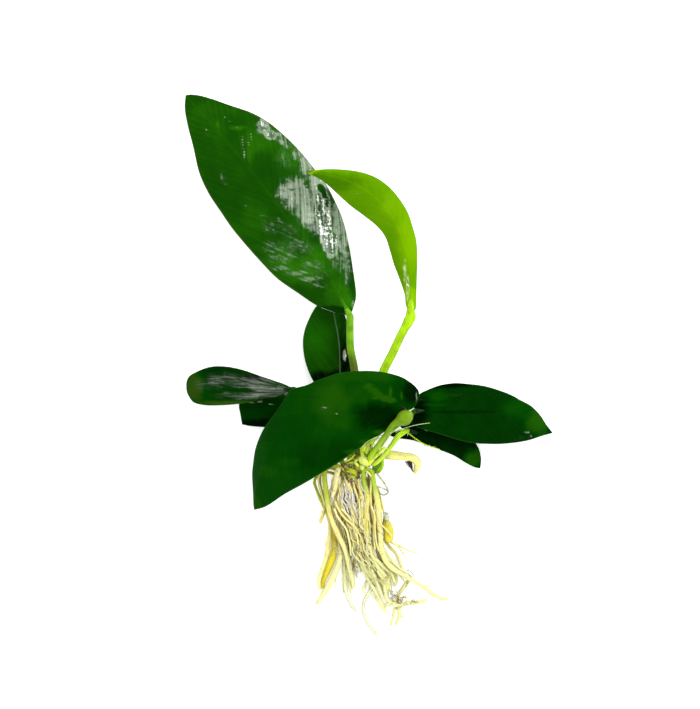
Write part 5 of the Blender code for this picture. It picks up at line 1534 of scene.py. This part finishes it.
def strands_between(pairs, count, seed, start, end, thickness, lift, loose):
    """Strands that wander between two main roots, in mm.

    They start and end at random shares of both roots' lengths. lift holds what
    their height is multiplied by and what is added to it.
    """
    chance = np.random.default_rng(seed)
    made = []
    travel = np.linspace(0, 1, 16)
    free = np.sin(math.pi * travel) ** 0.5
    for index in range(count):
        one, other = (settled_strands()[f"root_{number:02d}"]
                      for number in pairs[index % len(pairs)])
        mix = chance.uniform(0.1, 0.9)
        shares = np.linspace(chance.uniform(*start), chance.uniform(*end), 16)
        line = curve_at(one, shares) * mix + curve_at(other, shares) * (1 - mix)
        line[:, 0] += loose * 0.75 * wander(travel * 9, index + seed) * free
        line[:, 1] += loose * 0.5 * wander(travel * 8, index + seed + 50) * free
        line[:, 2] = (line[:, 2] * lift[0] + lift[1] * free
                      + 0.8 * wander(travel * 6, index + seed + 90) * free)
        line[:, 3] = chance.uniform(*thickness) * (1 - 0.4 * travel)
        line[:, 2] = np.maximum(line[:, 2], line[:, 3] * 1.05)
        made.append(fine_strand(line, 0.55))
    return made


def tapered(drawings):
    """Strands drawn as the heights and radii of their two ends, and a plan."""
    return fine_strands([[(x, y, start + (end - start) * share, thick + (thin - thick) * share)
                          for (x, y), share in zip(plan, np.linspace(0, 1, len(plan)))]
                         for (start, end, thick, thin), *plan in drawings], 0.5)


def tangle(centre, reach, height, count, thickness, seed, curls=(0.8, 2.2)):
    """Short curled strands heaped on a drawn spot; reach and curls are in sheet units."""
    chance = np.random.default_rng(seed)
    curled = []
    for _ in range(count):
        x, y = np.array(centre) + chance.normal(0, 0.5, 2) * reach
        turn = chance.uniform(0, 2 * math.pi) + np.linspace(0, chance.uniform(1.5, 4.5), 7)
        size = chance.uniform(*curls)
        z = height + chance.uniform(-0.6, 0.6)
        curled.append([(x + size * math.cos(a), y + size * math.sin(a),
                        z + 0.3 * math.sin(2 * a), thickness) for a in turn])
    return fine_strands(curled, 0.4)


class ANUBIAS_OT_fine_roots(bpy.types.Operator):
    """Grow the fine roots: drawn ones, ones that fill the bundle, dead ones."""
    bl_idname = "anubias.fine_roots"
    bl_label = "Fine roots"

    def execute(self, context):
        filler_count = context.scene.anubias_roots.filler_count
        pale = root_finish("fine_root_skin", linear("#f8ea7c"), "#fffac4", "#8a6430", -0.03,
                           "#c4cc20")
        golden = root_finish("golden_root_skin", linear("#dcb44c"), "#f2dc84", "#8a5418",
                             -0.02, "#c4cc20")
        mauve = dead_skin_finish("withered_root_skin", "#cfc4c8", "#faf6f6", roughness=0.5)
        brown = dead_skin_finish("old_root_skin", "#43280a", "#94702c", roughness=0.7)
        yellowed = dead_skin_finish("crown_strand_skin", "#90b040", "#d4deb0", roughness=0.5)
        clear = dead_skin_finish("shed_root_skin", "#98a080", "#dcdfc8", roughness=0.3)
        middle = [pair for pair in NEIGHBOURS if pair[0] in (8, 9, 10, 11, 22)]
        inner = [pair for pair in NEIGHBOURS if not {1, 3, 4, 5} & set(pair)]
        left = [pair for pair in NEIGHBOURS if 5 in pair]
        groups = [
            ("fine_roots_drawn", pale, 8, tapered(FINE_ROOTS)),
            ("fine_roots_filling", pale, 7,
             strands_between(inner, filler_count, 20, (0.0, 0.12), (0.5, 0.9), (0.3, 0.48),
                             (1.0, 0.3), 1.0)
             + strands_between(left, 22, 240, (0.05, 0.2), (0.45, 0.66), (0.26, 0.42),
                               (1.0, 0.3), 1.0)),
            ("fine_roots_over", pale, 7,
             strands_between(inner, 40, 140, (0.08, 0.4), (0.6, 0.92), (0.2, 0.34),
                             (1.0, 1.6), 1.9)),
            ("fine_roots_golden", golden, 7,
             strands_between(NEIGHBOURS[:1] * 6 + inner, 30, 40, (0.2, 0.4), (0.45, 0.7),
                             (0.2, 0.4), (0.95, 0.4), 1.4)),
            ("withered_roots", mauve, 7,
             strands_between(middle, 22, 60, (0.02, 0.12), (0.24, 0.4), (0.16, 0.3),
                             (1.0, 1.1), 1.2)),
            # Brown dead roots laid low in the bundle, which also darken the gaps between the roots
            # as painted shade.
            ("old_roots", brown, 6,
             strands_between(inner, 30, 80, (0.0, 0.3), (0.45, 0.72), (0.14, 0.28),
                             (0.75, 0.0), 1.4)),
            ("old_roots_over", brown, 6,
             strands_between(inner, 18, 180, (0.1, 0.5), (0.5, 0.78), (0.1, 0.16),
                             (1.0, 1.4), 2.4)
             + tapered(BROWN_CURLS)
             + tangle((405, 600), (11, 2), 3.0, 15, 0.09, 8, (2.0, 3.4))
             + tangle((391, 594), (7, 6), 2.6, 8, 0.06, 11, (1.6, 3.2))),
            ("golden_tangle", golden, 6,
             tangle((382, 581), (7, 4), 4.4, 24, 0.16, 3)
             + tangle((361, 551), (8, 20), 6.4, 26, 0.16, 5)
             + tangle((404, 600), (11, 3), 2.8, 9, 0.14, 7, (1.6, 3.2))
             + tangle((336, 547), (4, 9), 5.4, 14, 0.15, 21)),
            ("shed_tangle", clear, 6,
             tangle((392, 594), (6, 6), 2.4, 10, 0.12, 12, (1.6, 3.2))
             + tangle((353, 567), (4, 5), 3.4, 8, 0.1, 13)),
            ("shed_strands", clear, 7, tapered(DEAD_STRANDS)),
            ("crown_strand", yellowed, 8, tapered(CROWN_STRAND)),
        ]
        for seed, (name, skin, sides, strands) in enumerate(groups):
            grow(name, strands, skin, sides=sides, unevenness=0.00008,
                 swelling=0.0016, seed=31 + seed)
        return {"FINISHED"}


class ANUBIAS_OT_root_hairs(bpy.types.Operator):
    """Scatter root hairs on the roots and torn fibres on the crown."""
    bl_idname = "anubias.root_hairs"
    bl_label = "Root hairs and fibres"

    def execute(self, context):
        settings = context.scene.anubias_roots
        hair = dead_skin_finish("root_hair", "#e8dfa0", "#fbf6d2")
        fibre = dead_skin_finish("torn_fibre", "#2c1a08", "#6e4a1a", roughness=0.8)
        cream = dead_skin_finish("torn_fibre_pale", "#e8e0a8", "#fbf8dc")
        roots = [f"main_{root}" for root in ROOTS]
        for name, sources, skin, slot, per_mm2, length, width, sides, lean in (
                ("root_hairs", roots, hair, "root_cream", settings.hair_density,
                 settings.hair_length, 0.00003, 3, 0.6),
                ("brown_fuzz", ["main_root_18", "main_root_22", "main_root_12"], fibre,
                 "sheath_dark_brown", 0.7, 0.0009, 0.00005, 3, 0.8),
                ("crown_fibres", ["rhizome_stem"], fibre, "sheath_dark_brown", 0.26,
                 0.0015, 0.00016, 4, 1.0),
                ("crown_fibres_pale", ["rhizome_stem", "sheath_remains"], cream,
                 "root_cream", 0.55, 0.0015, 0.00016, 4, 1.0)):
            joined = bmesh.new()
            for source in sources:
                joined.from_mesh(bpy.data.objects[source].data)
            mesh = grown_mesh(bpy.data.objects.new(name, mesh_from(joined, name)),
                              scatter_tree(), Density=per_mm2 * 1e6, Length=length,
                              Width=width, Lean=lean, Sides=sides, Skin=skin)
            put_on_plant(name, mesh, skin)
        return {"FINISHED"}


class ANUBIAS_OT_stage(bpy.types.Operator):
    """Set the camera straight above, the pale floor and the soft lights."""
    bl_idname = "anubias.stage"
    bl_label = "Stage"

    def execute(self, context):
        settings = context.scene.anubias_stage
        scene = context.scene
        lens = bpy.data.cameras.new("camera_above")
        lens.lens = settings.lens
        lens.sensor_width = 36.0
        lens.clip_end = 50.0
        camera = bpy.data.objects.new("camera_above", lens)
        distance = settings.picture_height * settings.lens / lens.sensor_width
        camera.location = (*(on_plan(PICTURE_CENTRE) * MM), 0.003 + distance)
        scene.collection.objects.link(camera)
        scene.camera = camera

        # White card: smooth coated board, evenly lit, that glows very slightly.
        card, add, place, surface = new_finish("white_card")
        grain = add("TexNoise", {"Vector": place, "Scale": 1 / 0.002, "Detail": 2.0})
        surface({"Base Color": tinted(add, settings.floor_colour, [(grain, "#fdfdfd")]),
                 "Roughness": 0.9, "Specular IOR Level": 0.1,
                 "Emission Color": (1, 1, 1, 1), "Emission Strength": 0.55})
        sheet = bmesh.new()
        bmesh.ops.create_grid(sheet, x_segments=1, y_segments=1, size=3.0)
        mesh = mesh_from(sheet, "floor_card")
        mesh.materials.append(card)
        floor = bpy.data.objects.new("floor_card", mesh)
        floor.location.z = -0.0001
        scene.collection.objects.link(floor)

        lights = [("softbox", (0.8, 0.6), 36, 1.1, 0.42, settings.softbox_brightness)]
        # The roots and the crown face the front.
        for name, heading, share in (("left", (-1, 0.2), 0.9), ("right", (1, -0.3), 0.9),
                                     ("back", (0.1, 1), 0.9), ("front", (-0.3, -1), 1.9)):
            lights.append((f"fill_{name}", heading, 58, 1.7, 1.1,
                           share * settings.fill_brightness))
        for name, (x, y), lean, away, size, brightness in lights:
            data = bpy.data.lights.new(name, "AREA")
            data.size = size
            data.energy = brightness * math.pi * size ** 2
            lamp = bpy.data.objects.new(name, data)
            lean = math.radians(lean)
            scale = math.sin(lean) / math.hypot(x, y)
            lamp.location = np.array([x * scale, y * scale, math.cos(lean)]) * away
            lamp.rotation_euler = (lean, 0, math.atan2(y, x) + math.pi / 2)
            scene.collection.objects.link(lamp)

        # A pale studio: brightest round the horizon.
        world = bpy.data.worlds.new("studio")
        world.use_nodes = True
        add = partial(add_node, world.node_tree)
        up = add("SeparateXYZ", (add("TexCoord", out="Generated"),), out="Z")
        level = add("MapRange", (up, 0.0, 0.9, 0.85, 0.6))
        colour = add("CombineColor", (level, level, level))
        feed(world.node_tree, world.node_tree.nodes["Background"], {"Color": colour})
        scene.world = world
        scene.view_settings.view_transform = "Standard"
        return {"FINISHED"}


class ANUBIAS_PT_panel(bpy.types.Panel):
    """Buttons for every group of pieces, in the order they grow."""
    bl_idname = "ANUBIAS_PT_panel"
    bl_label = "Anubias"
    bl_space_type = "VIEW_3D"
    bl_region_type = "UI"
    bl_category = "Anubias"

    def draw(self, context):
        for operator in OPERATORS:
            self.layout.operator(operator.bl_idname)
        for group in SETTINGS:
            box = self.layout.box()
            for setting in SETTINGS[group].__annotations__:
                box.prop(getattr(context.scene, group), setting)


OPERATORS = (ANUBIAS_OT_blades, ANUBIAS_OT_stalks, ANUBIAS_OT_rhizome,
             ANUBIAS_OT_hooked_root, ANUBIAS_OT_roots, ANUBIAS_OT_fine_roots,
             ANUBIAS_OT_root_hairs, ANUBIAS_OT_stage)
SETTINGS = {"anubias_leaves": AnubiasLeafSettings, "anubias_stalks": AnubiasStalkSettings,
            "anubias_roots": AnubiasRootSettings, "anubias_stage": AnubiasStageSettings}


def register():
    """Add the settings, the operators and the panel."""
    for group in SETTINGS:
        bpy.utils.register_class(SETTINGS[group])
        setattr(bpy.types.Scene, group, bpy.props.PointerProperty(type=SETTINGS[group]))
    for kind in (*OPERATORS, ANUBIAS_PT_panel):
        bpy.utils.register_class(kind)


def unregister():
    """Take them away again."""
    for kind in (ANUBIAS_PT_panel, *reversed(OPERATORS)):
        bpy.utils.unregister_class(kind)
    for group in SETTINGS:
        delattr(bpy.types.Scene, group)
        bpy.utils.unregister_class(SETTINGS[group])


def main():
    """Grow the plant and set the stage."""
    register()
    bpy.ops.anubias.blades()
    bpy.ops.anubias.stalks()
    bpy.ops.anubias.rhizome()
    bpy.ops.anubias.hooked_root()
    bpy.ops.anubias.roots()
    bpy.ops.anubias.fine_roots()
    bpy.ops.anubias.root_hairs()
    bpy.ops.anubias.stage()


if __name__ == "__main__":
    main()
